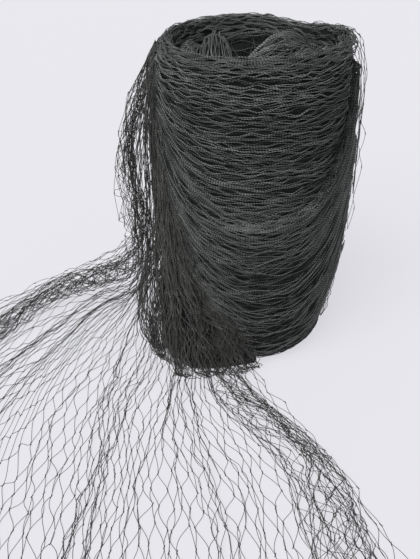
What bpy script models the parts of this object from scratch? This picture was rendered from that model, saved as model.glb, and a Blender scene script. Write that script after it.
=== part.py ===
"""Fruit cage netting: a wound roll of knotted net that stands on end, with its loose end
drawn down one side and spread over the surface.

Metres, +Z up. The origin is the centre of the roll's base, on the surface it stands on.
Azimuths are in degrees about the roll's axis: 0 at +X, 90 at +Y, 270 towards the viewer.
"""
from collections import namedtuple

import bmesh
import bpy
import numpy as np

OBJECT_NAME = "fruit_cage_netting"

# The wound roll
ROLL_HEIGHT = 0.450
RIM_RADIUS = 0.119
RIM_DIP = 0.010             # how far the rim sinks at its lowest place
RIM_DIP_DEG = 48.0
RIM_DIP_SPREAD_DEG = 28.0
HOLLOW_RADIUS = 0.106       # foot of the hollow's wall, at the top of the roll
HOLLOW_FLOOR = 0.414
LIP_PROFILE = ((0.008, 0.002), (0.013, 0.012))      # inset from the rim and drop below it
FLOOR_BELOW_RIM = 0.014
ROLL_SEGMENTS = 60
SIDE_RINGS = 24
TURNING_RINGS = (0.018, 0.935, 0.975)   # further rings where the profile turns, in shares of the height
FLOOR_RINGS = 7

ProfileRow = namedtuple("ProfileRow", "height radius")
SIDE_PROFILE = (
    ProfileRow(0.000, 0.115),
    ProfileRow(0.008, 0.1235),
    ProfileRow(0.025, 0.1300),
    ProfileRow(0.055, 0.1340),
    ProfileRow(0.100, 0.1365),
    ProfileRow(0.160, 0.1375),
    ProfileRow(0.220, 0.1370),
    ProfileRow(0.300, 0.1360),
    ProfileRow(0.375, 0.1350),
    ProfileRow(0.405, 0.1330),
    ProfileRow(0.427, 0.1300),
    ProfileRow(0.442, 0.1250),
    ProfileRow(0.450, 0.1190),
)

# Main twists of the winding: each is the lower edge of a layer that lies over the next one.
# The edge runs down from one azimuth to the other, steep at first and then level, by a power.
Twist = namedtuple("Twist", "name from_deg from_z to_deg to_z power proud reach")
TWISTS = (
    Twist("right_swag", 338, 0.425, 262, 0.250, 3.0, 0.0080, 0.070),
    Twist("left_fan", 184, 0.400, 270, 0.252, 2.7, 0.0045, 0.040),
    Twist("left_low", 186, 0.300, 305, 0.088, 2.3, 0.0050, 0.045),
    Twist("front_low", 190, 0.115, 276, 0.012, 1.2, 0.0040, 0.035),
    Twist("back_left", 186, 0.360, 95, 0.240, 2.2, 0.0040, 0.050),
    Twist("back_right", -22, 0.330, 85, 0.150, 2.0, 0.0040, 0.050),
)
# Where the wound net leans out of round: drawn in at the foot, and piled up at the left shoulder.
Lean = namedtuple("Lean", "name deg spread_deg z reach out")
LEANS = (
    Lean("right_foot", 335, 50, 0.020, 0.110, -0.0110),
    Lean("left_shoulder", 190, 26, 0.415, 0.045, 0.0030),
)
TWIST_EDGE = 0.006          # height over which a twist's edge rises
TWIST_FADE_DEG = 12.0

# What is folded into the hollow at the top: a twisted hank across it, a tuft, and loose folds.
Mound = namedtuple("Mound", "name x y along_deg length width rise")
MOUNDS = (
    Mound("twisted_hank", 0.034, -0.018, 44, 0.062, 0.019, 0.026),
    Mound("tuft", -0.052, 0.004, 80, 0.034, 0.018, 0.024),
    Mound("left_folds", -0.086, -0.012, 85, 0.040, 0.016, 0.022),
    Mound("right_folds", 0.078, -0.048, 60, 0.034, 0.018, 0.022),
    Mound("back_folds", 0.010, 0.066, 5, 0.060, 0.018, 0.018),
    Mound("core_hole", -0.012, 0.006, 70, 0.032, 0.018, -0.028),
    Mound("right_pocket", 0.078, 0.018, 70, 0.022, 0.014, -0.016),
)

# The loose end: a guide line is a fold, or a run of net between folds, followed outwards.
# It leaves the roll, hangs beside it, comes down near it and ends on the surface.
NET_THICKNESS = 0.002
ROOT_GAP = 0.0012           # clear space between the roll and the net's first row
HANG_GAP = 0.0040           # clear space where the net hangs beside the roll
MID_RADIUS = 0.300
Guide = namedtuple(
    "Guide",
    "name leave_deg leave_z hang_deg hang_r hang_z near_deg near_r near_z mid_deg mid_z"
    " end_deg end_r fold spread meshes",
)
GUIDES = (
    Guide("outer_edge", 170, 0.440, 174, 0.184, 0.300, 177, 0.203, 0.142,
          169, 0.070, 175, 0.520, 0.000, 0.00, 7),
    Guide("upper_rope", 177, 0.440, 180, 0.174, 0.300, 179, 0.186, 0.112,
          173, 0.042, 198, 0.510, 0.013, 0.13, 6),
    Guide("thin_rope", 183, 0.438, 185, 0.165, 0.295, 183, 0.192, 0.075,
          181, 0.012, 206, 0.495, 0.006, 0.08, 6),
    Guide("double_band", 188, 0.432, 190, 0.158, 0.285, 188, 0.196, 0.050,
          191, 0.004, 215, 0.510, 0.010, 0.15, 7),
    Guide("left_open", 193, 0.420, 195, 0.152, 0.265, 197, 0.200, 0.030,
          207, 0.000, 229, 0.580, 0.000, 0.00, 8),
    Guide("front_left_rope", 198, 0.380, 201, 0.149, 0.210, 205, 0.203, 0.022,
          223, 0.000, 244, 0.565, 0.010, 0.20, 2),
    Guide("twin_rope", 204, 0.240, 206, 0.152, 0.120, 212, 0.202, 0.026,
          229, 0.000, 247, 0.545, 0.009, 0.30, 7),
    Guide("middle_open", 218, 0.140, 220, 0.162, 0.075, 224, 0.202, 0.024,
          241, 0.000, 255, 0.510, 0.000, 0.00, 6),
    Guide("front_bunch", 236, 0.105, 236, 0.164, 0.058, 236, 0.198, 0.022,
          251, 0.000, 264, 0.500, 0.007, 0.12, 7),
    Guide("right_bundle", 256, 0.088, 257, 0.152, 0.044, 262, 0.178, 0.018,
          278, 0.000, 281, 0.500, 0.014, 0.22, 4),
    Guide("right_edge", 272, 0.075, 272, 0.147, 0.036, 275, 0.163, 0.010,
          283, 0.000, 289, 0.510, 0.000, 0.00, 0),
)
ROW_KNOTS = (0.0, 0.45, 1.0, 1.33, 2.0)     # leave, hang, near, mid, end
HANGING_ROWS = (0.0, 0.06, 0.14, 0.26, 0.42, 0.60, 0.80)
LYING_ROWS = 12
FOLD_STEPS = 3              # narrow columns on each side of a fold's crown
YARN_WIDTH = 0.0032         # neighbouring meshes are drawn as one, so the bars are stout
SMALLEST_GAP = 0.0100
MOST_GAPS = 288

# The swag beside the right shoulder: a narrow run of net from the rim to the side.
Swag = namedtuple(
    "Swag", "name leave_deg leave_z crown_deg crown_r crown_z side_deg side_r side_z end_deg end_z"
)
SWAGS = (
    Swag("swag_back", 50, 0.424, 10, 0.144, 0.404, 356, 0.144, 0.330, 350, 0.250),
    Swag("swag_middle", 38, 0.429, 0, 0.146, 0.414, 346, 0.144, 0.345, 338, 0.272),
    Swag("swag_front", 26, 0.434, 350, 0.141, 0.424, 336, 0.142, 0.372, 326, 0.315),
)
SWAG_KNOTS = (0.0, 0.40, 0.72, 1.0)
SWAG_COLUMNS = 10
SWAG_ROWS = 14
SWAG_LEAST_GAP = 0.0050
SWAG_GAP = 0.0025

# Colours and finish
YARN_COLOUR = (0.030, 0.034, 0.033, 1.0)
YARN_ROUGHNESS = 0.62


def smooth_through(knots, values, at):
    """Cubic curve through rows of values: each slope is the mean slope of its neighbours."""
    knots = np.asarray(knots, dtype=float)
    values = np.asarray(values, dtype=float)
    at = np.asarray(at, dtype=float)
    steps = np.diff(knots)
    shape = (-1,) + (1,) * (values.ndim - 1)
    slopes = np.diff(values, axis=0) / steps.reshape(shape)
    before = steps[:-1].reshape(shape)
    after = steps[1:].reshape(shape)
    inner = (slopes[:-1] * after + slopes[1:] * before) / (before + after)
    tangents = np.concatenate([slopes[:1], inner, slopes[-1:]])
    cell = np.clip(np.searchsorted(knots, at, side="right") - 1, 0, len(steps) - 1)
    span = steps[cell].reshape(shape)
    u = ((at - knots[cell]) / steps[cell]).reshape(shape)
    rise = u * u * (3.0 - 2.0 * u)
    leaving = u * (1.0 - u) ** 2 * span
    arriving = u * u * (u - 1.0) * span
    return (values[cell] * (1.0 - rise) + values[cell + 1] * rise
            + tangents[cell] * leaving + tangents[cell + 1] * arriving)


def turn(angle):
    """An angle in degrees brought between -180 and 180."""
    return (np.asarray(angle) + 180.0) % 360.0 - 180.0


def rim_height(azimuth):
    """Height of the rim: level but for one dip."""
    return ROLL_HEIGHT - RIM_DIP * np.exp(-(turn(azimuth - RIM_DIP_DEG) / RIM_DIP_SPREAD_DEG) ** 2)


def twist_relief(azimuth, height):
    """How far the overlapping layers stand proud of the plain roll."""
    total = np.zeros(np.broadcast(azimuth, height).shape)
    for row in TWISTS:
        sweep = row.to_deg - row.from_deg
        along = turn(azimuth - row.from_deg - 0.5 * sweep) / sweep + 0.5
        fade = TWIST_FADE_DEG / abs(sweep)
        window = np.clip((along + fade) / fade, 0.0, 1.0) * np.clip((1.0 + fade - along) / fade, 0.0, 1.0)
        edge = row.to_z + (row.from_z - row.to_z) * (1.0 - np.clip(along, 0.0, 1.0)) ** row.power
        below = edge - height
        rise = 1.0 / (1.0 + np.exp(-4.0 * below / TWIST_EDGE))
        fall = np.exp(-np.clip(below, 0.0, None) / row.reach)
        total = total + row.proud * window * rise * fall
    return total


def lean(azimuth, height):
    """How far the side leans out of round, by soft patches."""
    total = np.zeros(np.broadcast(azimuth, height).shape)
    for row in LEANS:
        aside = turn(azimuth - row.deg) / row.spread_deg
        above = (height - row.z) / row.reach
        total = total + row.out * np.exp(-aside ** 2 - above ** 2)
    return total


def roll_radius(azimuth, height):
    """Radius of the roll's side at an azimuth and a height."""
    heights = [row.height for row in SIDE_PROFILE]
    radii = [row.radius for row in SIDE_PROFILE]
    scaled = np.asarray(height) * ROLL_HEIGHT / rim_height(azimuth)
    plain = np.interp(scaled, heights, radii)
    base_blend = np.clip(np.asarray(height) / 0.03, 0.0, 1.0)
    rim_blend = np.clip((ROLL_HEIGHT - scaled) / 0.03, 0.0, 1.0)
    return (plain + lean(azimuth, height) * rim_blend
            + twist_relief(azimuth, height) * base_blend * rim_blend)


def hollow_floor(x, y):
    """Height of what is folded into the hollow: soft oval mounds and holes on a level floor."""
    height = np.full(np.shape(x), HOLLOW_FLOOR)
    for row in MOUNDS:
        angle = np.radians(row.along_deg)
        along = (x - row.x) * np.cos(angle) + (y - row.y) * np.sin(angle)
        across = (y - row.y) * np.cos(angle) - (x - row.x) * np.sin(angle)
        height = height + row.rise * np.exp(-(along / row.length) ** 2 - (across / row.width) ** 2)
    return height


def new_object(name, mesh, collection):
    """Put a mesh in the collection as an object of the same name, with its own material."""
    material = bpy.data.materials.new(name + "_yarn")
    material.use_nodes = True
    shader = material.node_tree.nodes["Principled BSDF"]
    shader.inputs["Base Color"].default_value = YARN_COLOUR
    shader.inputs["Roughness"].default_value = YARN_ROUGHNESS
    shader.inputs["Metallic"].default_value = 0.0
    material.diffuse_color = YARN_COLOUR
    mesh.materials.append(material)
    mesh.shade_smooth()
    obj = bpy.data.objects.new(name, mesh)
    collection.objects.link(obj)
    return obj


def ring_points(azimuth, radius, height):
    """Points of one ring, from its azimuths, radii and heights."""
    angle = np.radians(azimuth)
    return np.stack([radius * np.cos(angle), radius * np.sin(angle), height], axis=-1)


def roll_rings():
    """Rings of the roll from the centre of its base, up its side and over the rim to the hollow."""
    azimuth = np.arange(ROLL_SEGMENTS) * 360.0 / ROLL_SEGMENTS
    ones = np.ones(ROLL_SEGMENTS)
    rings = [ring_points(azimuth, SIDE_PROFILE[0].radius * 0.5 * ones, 0.0 * ones)]
    heights = np.concatenate([np.linspace(0.0, 1.0, SIDE_RINGS), TURNING_RINGS])
    for part in np.sort(heights):
        height = part * rim_height(azimuth)
        rings.append(ring_points(azimuth, roll_radius(azimuth, height), height))
    rim = rim_height(azimuth)
    for inset, drop in LIP_PROFILE:
        rings.append(ring_points(azimuth, (RIM_RADIUS - inset) * ones, rim - drop))
    for ring in range(FLOOR_RINGS, 0, -1):
        flat = ring_points(azimuth, HOLLOW_RADIUS * ring / FLOOR_RINGS * ones, 0.0 * ones)
        flat[:, 2] = np.minimum(hollow_floor(flat[:, 0], flat[:, 1]), rim - FLOOR_BELOW_RIM)
        rings.append(flat)
    return np.array(rings)


def build_wound_roll(collection):
    """The roll: one closed loft of rings, capped at its base and at the hollow's middle."""
    rings = roll_rings()
    count = len(rings)
    points = rings.reshape(-1, 3)
    base_centre = len(points)
    top_centre = base_centre + 1
    centre_height = float(hollow_floor(np.array(0.0), np.array(0.0)))
    points = np.concatenate([points, [(0.0, 0.0, 0.0), (0.0, 0.0, centre_height)]])
    faces = []
    for segment in range(ROLL_SEGMENTS):
        following = (segment + 1) % ROLL_SEGMENTS
        faces.append((base_centre, following, segment))
        for ring in range(count - 1):
            low = ring * ROLL_SEGMENTS
            high = low + ROLL_SEGMENTS
            faces.append((low + segment, low + following, high + following, high + segment))
        last = (count - 1) * ROLL_SEGMENTS
        faces.append((last + segment, last + following, top_centre))
    mesh = bpy.data.meshes.new("wound_roll")
    mesh.from_pydata(points.tolist(), [], faces)
    return new_object("wound_roll", mesh, collection)


def lattice_mesh(name, grid, least_gap, most_gaps):
    """Net from a grid of points: lozenges between every second point, the open ones cut out.

    The grid's first index counts columns and its second counts rows. Each lozenge that is wide
    enough is inset by half a bar and its middle is taken out, the largest ones first.
    """
    columns, rows = grid.shape[:2]
    bm = bmesh.new()
    verts = {}
    for column in range(columns):
        for row in range(rows):
            on_border = column in (0, columns - 1) or row in (0, rows - 1)
            if (column + row) % 2 == 0 or on_border:
                verts[column, row] = bm.verts.new(grid[column, row])
    lozenges = []
    for column in range(columns):
        for row in range(rows):
            if (column + row) % 2 == 0:
                continue
            corners = [(column - 1, row), (column, row - 1), (column + 1, row), (column, row + 1)]
            present = [verts[key] for key in corners if key in verts]
            if len(present) == 4:
                lozenges.append(bm.faces.new(present))
                continue
            # On the border the lozenge is halved, and the border's own point is in its edge.
            order = dict.fromkeys(key if key in verts else (column, row) for key in corners)
            bm.faces.new([verts[key] for key in order])
    bm.normal_update()
    measured = []
    for face in lozenges:
        points = [vert.co for vert in face.verts]
        width = (points[0] - points[2]).length
        length = (points[1] - points[3]).length
        measured.append((min(width, length), face.calc_area(), face))
    wide = [entry for entry in measured if entry[0] > least_gap + YARN_WIDTH]
    wide.sort(key=lambda entry: -entry[1])
    chosen = [entry[2] for entry in wide[:most_gaps]]
    bmesh.ops.inset_individual(bm, faces=chosen, thickness=YARN_WIDTH * 0.5, use_even_offset=True)
    bmesh.ops.delete(bm, geom=chosen, context="FACES")
    mesh = bpy.data.meshes.new(name)
    bm.to_mesh(mesh)
    bm.free()
    return mesh, len(chosen)


def thicken(obj):
    """Give an open sheet its thickness, half on each side."""
    solidify = obj.modifiers.new("thickness", "SOLIDIFY")
    solidify.thickness = NET_THICKNESS
    solidify.offset = 0.0
    solidify.use_even_offset = False


def keep_outside(points, gap):
    """Move points that are nearer the roll's side than the gap straight out to it."""
    azimuth = np.degrees(np.arctan2(points[..., 1], points[..., 0]))
    radius = np.hypot(points[..., 0], points[..., 1])
    beside = points[..., 2] < rim_height(azimuth)
    least = np.where(beside, roll_radius(azimuth, points[..., 2]) + gap + NET_THICKNESS * 0.5, 0.0)
    scale = np.maximum(radius, least) / radius
    moved = points.copy()
    moved[..., 0] *= scale
    moved[..., 1] *= scale
    return moved


def guide_columns():
    """Places across the net, in guides: even meshes between folds and narrow ones at each fold."""
    places = [0.0]
    for index, guide in enumerate(GUIDES):
        if guide.fold > 0.0:
            for step in range(-FOLD_STEPS, FOLD_STEPS + 1):
                places.append(index + guide.spread * step / FOLD_STEPS)
        if guide.meshes:
            low = index + guide.spread
            high = index + 1 - GUIDES[index + 1].spread
            for step in range(1, guide.meshes + 1):
                places.append(low + (high - low) * step / guide.meshes)
    places = sorted(set(np.round(places, 6)))
    return np.array(places)


def loose_end_grid():
    """Points of the loose end, by column across the net and by row away from the roll."""
    across = guide_columns()
    names = ("leave_deg", "leave_z", "hang_deg", "hang_r", "hang_z", "near_deg", "near_r",
             "near_z", "mid_deg", "mid_z", "end_deg", "end_r")
    table = np.array([[getattr(guide, name) for name in names] for guide in GUIDES])
    at = dict(zip(names, smooth_through(range(len(GUIDES)), table, across).T))
    lying = NET_THICKNESS * 0.5
    leave_r = roll_radius(at["leave_deg"], at["leave_z"]) + ROOT_GAP + lying
    stations = np.array([
        ring_points(at["leave_deg"], leave_r, at["leave_z"]),
        ring_points(at["hang_deg"], at["hang_r"], at["hang_z"]),
        ring_points(at["near_deg"], at["near_r"], at["near_z"] + lying),
        ring_points(at["mid_deg"], MID_RADIUS + 0.0 * across, np.maximum(at["mid_z"], 0.0) + lying),
        ring_points(at["end_deg"], at["end_r"], lying + 0.0 * across),
    ])
    rows = np.concatenate([HANGING_ROWS, np.linspace(1.0, 2.0, LYING_ROWS + 1)])
    grid = smooth_through(ROW_KNOTS, stations, rows).transpose(1, 0, 2)
    grid[:, 1:] = keep_outside(grid[:, 1:], HANG_GAP)
    grid[:, :, 2] += fold_rise(across)[:, None] * np.clip(rows, 0.0, 1.0)[None, :]
    grid[:, :, 2] = np.maximum(grid[:, :, 2], lying)
    return grid


def fold_rise(across):
    """Height of the folds across the net: an arch over each fold's crown."""
    rise = np.zeros(len(across))
    for index, guide in enumerate(GUIDES):
        if guide.fold > 0.0:
            share = np.clip(np.abs(across - index) / guide.spread, 0.0, 1.0)
            rise += guide.fold * np.sqrt(1.0 - share ** 2)
    return rise


def build_loose_end(collection):
    """The loose end: one net sheet from the left shoulder to its ends on the surface."""
    mesh, gaps = lattice_mesh("loose_end", loose_end_grid(), SMALLEST_GAP, MOST_GAPS)
    obj = new_object("loose_end", mesh, collection)
    thicken(obj)
    print("gaps cut in loose_end:", gaps)
    return obj


def build_side_swag(collection):
    """The swag: a narrow net sheet that stands off the right shoulder."""
    names = Swag._fields[1:]
    table = np.array([[getattr(swag, name) for name in names] for swag in SWAGS])
    for index in (0, 2, 5, 8):
        table[:, index] = turn(table[:, index])
    across = np.linspace(0.0, len(SWAGS) - 1.0, SWAG_COLUMNS + 1)
    at = dict(zip(names, smooth_through(range(len(SWAGS)), table, across).T))
    half = NET_THICKNESS * 0.5
    leave_r = roll_radius(at["leave_deg"], at["leave_z"]) + ROOT_GAP + half
    end_r = roll_radius(at["end_deg"], at["end_z"]) + ROOT_GAP + half
    stations = np.array([
        ring_points(at["leave_deg"], leave_r, at["leave_z"]),
        ring_points(at["crown_deg"], at["crown_r"], at["crown_z"]),
        ring_points(at["side_deg"], at["side_r"], at["side_z"]),
        ring_points(at["end_deg"], end_r, at["end_z"]),
    ])
    rows = np.linspace(0.0, 1.0, SWAG_ROWS + 1)
    grid = smooth_through(SWAG_KNOTS, stations, rows).transpose(1, 0, 2)
    grid[:, 1:-1] = keep_outside(grid[:, 1:-1], SWAG_GAP)
    mesh, gaps = lattice_mesh("side_swag", grid, SWAG_LEAST_GAP, SWAG_COLUMNS * SWAG_ROWS)
    obj = new_object("side_swag", mesh, collection)
    thicken(obj)
    print("gaps cut in side_swag:", gaps)
    return obj


def main():
    """Clear the scene and build the three pieces."""
    for obj in list(bpy.data.objects):
        bpy.data.objects.remove(obj, do_unlink=True)
    collection = bpy.data.collections.new(OBJECT_NAME)
    bpy.context.scene.collection.children.link(collection)
    build_wound_roll(collection)
    build_loose_end(collection)
    build_side_swag(collection)


main()
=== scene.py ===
"""Fruit cage netting on end: the wound roll, its hollow top, the loose end and the side swag.

Metres, +Z up, the origin at the centre of the roll's base. Azimuths are in degrees about the
roll's axis: 0 at +X, 90 at +Y, 270 towards the viewer.
"""

import logging
import math
from dataclasses import dataclass, field
from enum import Enum

import bpy
import numpy as np
from mathutils import Matrix

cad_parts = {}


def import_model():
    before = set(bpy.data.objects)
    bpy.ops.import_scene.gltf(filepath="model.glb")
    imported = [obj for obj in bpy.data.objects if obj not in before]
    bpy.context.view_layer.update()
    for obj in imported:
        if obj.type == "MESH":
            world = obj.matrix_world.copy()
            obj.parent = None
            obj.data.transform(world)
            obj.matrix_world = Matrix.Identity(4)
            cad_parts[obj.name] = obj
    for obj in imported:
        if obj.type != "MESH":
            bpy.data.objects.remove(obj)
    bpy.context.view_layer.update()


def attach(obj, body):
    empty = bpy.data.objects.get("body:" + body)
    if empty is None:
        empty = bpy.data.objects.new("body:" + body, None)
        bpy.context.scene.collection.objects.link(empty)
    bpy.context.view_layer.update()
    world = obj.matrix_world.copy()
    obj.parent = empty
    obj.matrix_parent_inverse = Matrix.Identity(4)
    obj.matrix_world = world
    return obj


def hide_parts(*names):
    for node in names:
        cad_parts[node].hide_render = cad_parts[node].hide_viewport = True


Array = np.ndarray
Colour = tuple[float, float, float]
Rows = tuple[tuple[float, ...], ...]
LOG = logging.getLogger("fruit_cage_netting")
MESH_BAR = 0.0280           # one bar of the net, knot to knot
FRONT_DEG = 270.0           # the azimuth that faces the viewer
UP = np.array([0.0, 0.0, 1.0])


class Slot(Enum):
    """The record's material slots."""

    ROLL = "roll_yarn"
    NET = "net_yarn"
    SWAG = "swag_yarn"


SOLID_OF = {Slot.ROLL: "wound_roll", Slot.NET: "loose_end", Slot.SWAG: "side_swag"}


def smooth_through(knots: Array, values: Array, at: Array) -> Array:
    """Cubic curve through rows of values: each slope is the mean slope of its neighbours.

    Args:
        knots: Rising places of the rows.
        values: One row of values for each knot.
        at: Places at which the curve is wanted.

    Returns:
        One row of values for each place.
    """
    knots = np.asarray(knots, dtype=float)
    values = np.asarray(values, dtype=float)
    at = np.asarray(at, dtype=float)
    steps = np.diff(knots)
    shape = (-1,) + (1,) * (values.ndim - 1)
    slopes = np.diff(values, axis=0) / steps.reshape(shape)
    before = steps[:-1].reshape(shape)
    after = steps[1:].reshape(shape)
    inner = (slopes[:-1] * after + slopes[1:] * before) / (before + after)
    tangents = np.concatenate([slopes[:1], inner, slopes[-1:]])
    cell = np.clip(np.searchsorted(knots, at, side="right") - 1, 0, len(steps) - 1)
    span = steps[cell].reshape(shape)
    u = ((at - knots[cell]) / steps[cell]).reshape(shape)
    rise = u * u * (3.0 - 2.0 * u)
    leaving = u * (1.0 - u) ** 2 * span
    arriving = u * u * (u - 1.0) * span
    return (values[cell] * (1.0 - rise) + values[cell + 1] * rise
            + tangents[cell] * leaving + tangents[cell + 1] * arriving)


def turn(angle: Array) -> Array:
    """An angle in degrees brought between -180 and 180."""
    return (np.asarray(angle) + 180.0) % 360.0 - 180.0


def unit(vectors: Array) -> Array:
    """Vectors along the last axis brought to length one."""
    return vectors / np.maximum(np.linalg.norm(vectors, axis=-1, keepdims=True), 1e-9)


def ease(share: Array) -> Array:
    """The S-curve 3 t^2 - 2 t^3 of a share held between 0 and 1."""
    share = np.clip(share, 0.0, 1.0)
    return share * share * (3.0 - 2.0 * share)


def on_ring(azimuth: Array, radius: Array, height: Array) -> Array:
    """Points at an azimuth, a radius and a height."""
    angle = np.radians(azimuth)
    return np.stack(np.broadcast_arrays(radius * np.cos(angle), radius * np.sin(angle), height), axis=-1)


def outward(points: Array) -> Array:
    """Level unit vectors from the roll's axis through points."""
    return unit(points * (1.0 - UP))


def from_table(table: Rows, at: Array) -> Array:
    """Values at places, read between the rows (place, value) of a table."""
    return np.interp(at, *np.array(table).T)


def alternate(number: Array) -> Array:
    """1 for even numbers and -1 for odd ones: neighbours wave against each other."""
    return np.where(number % 2 == 0, 1.0, -1.0)


def whole_bars(length: float) -> int:
    """Number of the net's bars in a length, four or more."""
    return max(4, int(round(length / MESH_BAR)))


def knot_radii(bars: Array, yarn: float, swell: float) -> Array:
    """Radius of a strand at places counted in bars: the yarn's own, and thicker at each knot."""
    return yarn * np.where(np.abs(bars - np.round(bars)) < 0.01, swell, 1.0)


def loft_quads(sections: int, places: int) -> tuple[Array, Array]:
    """Point numbers of closed sections, and the faces between each section and the next."""
    index = np.arange(sections * places).reshape(sections, places)
    following = np.roll(index, -1, axis=1)
    quads = np.stack([index[:-1], following[:-1], following[1:], index[1:]], axis=-1)
    return index, quads.reshape(-1, 4)


@dataclass(frozen=True)
class Ripple:
    """Smooth seeded noise: a sum of sine waves over two directions, of unit strength.

    The wave counts along the first direction are whole, so it closes after one turn.
    """

    seed: int
    first: tuple[float, float]
    second: tuple[float, float]
    terms: int = 9

    def at(self, first: Array, second: Array) -> Array:
        """Value at places.

        Args:
            first: Place along the first direction, in turns.
            second: Place along the second direction, in its own steps.

        Returns:
            The sum of sin(2 pi (a first + b second + c)) over the terms, made unit in strength.
        """
        rng = np.random.default_rng(self.seed)
        total = 0.0
        for _ in range(self.terms):
            waves = np.round(rng.uniform(*self.first))
            across = rng.uniform(*self.second) * rng.choice([-1.0, 1.0])
            start = rng.uniform()
            total = total + np.sin(2.0 * np.pi * (waves * first + across * second + start))
        return total / math.sqrt(self.terms / 2.0)


@dataclass
class YarnMesh:
    """Tubes of yarn gathered into one mesh, with a UV map along the yarn and a tone for each point."""

    sides: int = 3                  # flats round each tube
    points: list[Array] = field(default_factory=list)
    quads: list[Array] = field(default_factory=list)
    quad_uvs: list[Array] = field(default_factory=list)
    caps: list[Array] = field(default_factory=list)
    tones: list[Array] = field(default_factory=list)
    count: int = 0                  # points so far

    def triangles(self) -> int:
        """Number of triangles so far."""
        return 2 * sum(len(q) for q in self.quads) + (self.sides - 2) * sum(len(c) for c in self.caps)

    def add(self, paths: Array, normals: Array, radii: Array, tone: Array, closed: bool = False) -> None:
        """Add tubes that follow paths.

        Each ring is path + r (cos a side + sin a up), with side square to the path and to the
        surface's normal, and up square to both.

        Args:
            paths: Points, by tube and by place along it.
            normals: Directions out of the surface, for all points, each path or each point.
            radii: Radius at each point.
            tone: Paleness, 0 to 1, of each tube or of each point.
            closed: True if each path is a loop.
        """
        tubes, places = paths.shape[:2]
        if not tubes:
            return
        radii = np.broadcast_to(radii, (tubes, places))
        if closed:
            ahead, behind = np.roll(paths, -1, axis=1), np.roll(paths, 1, axis=1)
        else:
            ahead = np.concatenate([paths[:, 1:], paths[:, -1:]], axis=1)
            behind = np.concatenate([paths[:, :1], paths[:, :-1]], axis=1)
        tangent = unit(ahead - behind)
        side = unit(np.cross(tangent, normals))
        up = np.cross(side, tangent)
        angle = 2.0 * np.pi * np.arange(self.sides) / self.sides + 0.5 * np.pi
        spoke = (np.cos(angle)[:, None] * side[:, :, None, :] + np.sin(angle)[:, None] * up[:, :, None, :])
        rings = paths[:, :, None, :] + radii[..., None, None] * spoke
        index = self.count + np.arange(tubes * places * self.sides).reshape(tubes, places, self.sides)
        length = np.cumsum(np.linalg.norm(paths - behind, axis=-1), axis=1)
        if closed:
            low, high = index, np.roll(index, -1, axis=1)
            step = np.linalg.norm(paths[:, :1] - paths[:, -1:], axis=-1)
            length = length - length[:, :1]
            v_low, v_high = length, np.concatenate([length[:, 1:], length[:, -1:] + step], axis=1)
        else:
            low, high = index[:, :-1], index[:, 1:]
            v_low, v_high = length[:, :-1], length[:, 1:]
            self.caps.append(np.concatenate([index[:, 0], index[:, -1, ::-1]]))
        quads = np.stack([low, high, np.roll(high, -1, axis=2), np.roll(low, -1, axis=2)], axis=-1)
        u_low = np.arange(self.sides) / self.sides
        u_high = u_low + 1.0 / self.sides
        uvs = np.empty(low.shape + (4, 2))
        uvs[..., 0] = np.stack([u_low, u_low, u_high, u_high], axis=-1)
        uvs[..., 1] = np.stack([v_low, v_high, v_high, v_low], axis=-1)[:, :, None]
        self.points.append(rings.reshape(-1, 3))
        self.quads.append(quads.reshape(-1, 4))
        self.quad_uvs.append(uvs.reshape(-1, 2))
        tone = np.asarray(tone, dtype=float).reshape(tubes, -1, 1)
        self.tones.append(np.broadcast_to(tone, index.shape).reshape(-1))
        self.count += index.size

    def build(self, name: str, material: bpy.types.Material, slot: Slot) -> bpy.types.Object:
        """Make the piece.

        Args:
            name: The piece's name.
            material: Its material.
            slot: Its material slot.

        Returns:
            The new object, linked to the scene.
        """
        points = np.concatenate(self.points)
        quads = np.concatenate(self.quads)
        caps = np.concatenate(self.caps) if self.caps else np.zeros((0, self.sides), dtype=int)
        corners = np.concatenate([quads.ravel(), caps.ravel()])
        starts = np.concatenate([4 * np.arange(len(quads)),
                                 4 * len(quads) + self.sides * np.arange(len(caps))])
        uvs = np.concatenate(self.quad_uvs + [np.zeros((caps.size, 2))])
        mesh = new_mesh(name, points, corners, starts)
        layer = mesh.uv_layers.new(name="yarn")
        layer.data.foreach_set("uv", uvs.astype(np.float32).ravel())
        tone = mesh.attributes.new("tone", "FLOAT", "POINT")
        tone.data.foreach_set("value", np.concatenate(self.tones).astype(np.float32))
        LOG.info("%s: %d triangles", name, self.triangles())
        return new_piece(name, mesh, material, slot)


def new_mesh(name: str, points: Array, corners: Array, starts: Array) -> bpy.types.Mesh:
    """A mesh from whole arrays.

    Args:
        name: The mesh's name.
        points: Its points.
        corners: Point numbers of all faces, end to end.
        starts: Where each face begins in corners.

    Returns:
        The mesh, shaded smooth.
    """
    mesh = bpy.data.meshes.new(name)
    mesh.vertices.add(len(points))
    mesh.vertices.foreach_set("co", points.astype(np.float32).ravel())
    mesh.loops.add(len(corners))
    mesh.loops.foreach_set("vertex_index", corners.astype(np.int32))
    mesh.polygons.add(len(starts))
    mesh.polygons.foreach_set("loop_start", starts.astype(np.int32))
    mesh.update(calc_edges=True)
    mesh.shade_smooth()
    return mesh


def new_piece(name: str, mesh: bpy.types.Mesh, material: bpy.types.Material,
              slot: Slot | None = None) -> bpy.types.Object:
    """Link a mesh to the scene as an object at the origin.

    Args:
        name: The object's name.
        mesh: Its mesh.
        material: Its material.
        slot: Material slot of a piece that rides on the part and stands for the slot's solid.

    Returns:
        The new object.
    """
    mesh.materials.append(material)
    obj = bpy.data.objects.new(name, mesh)
    bpy.context.scene.collection.objects.link(obj)
    if slot:
        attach(obj, "root")
        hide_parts(SOLID_OF[slot])
    return obj


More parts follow.
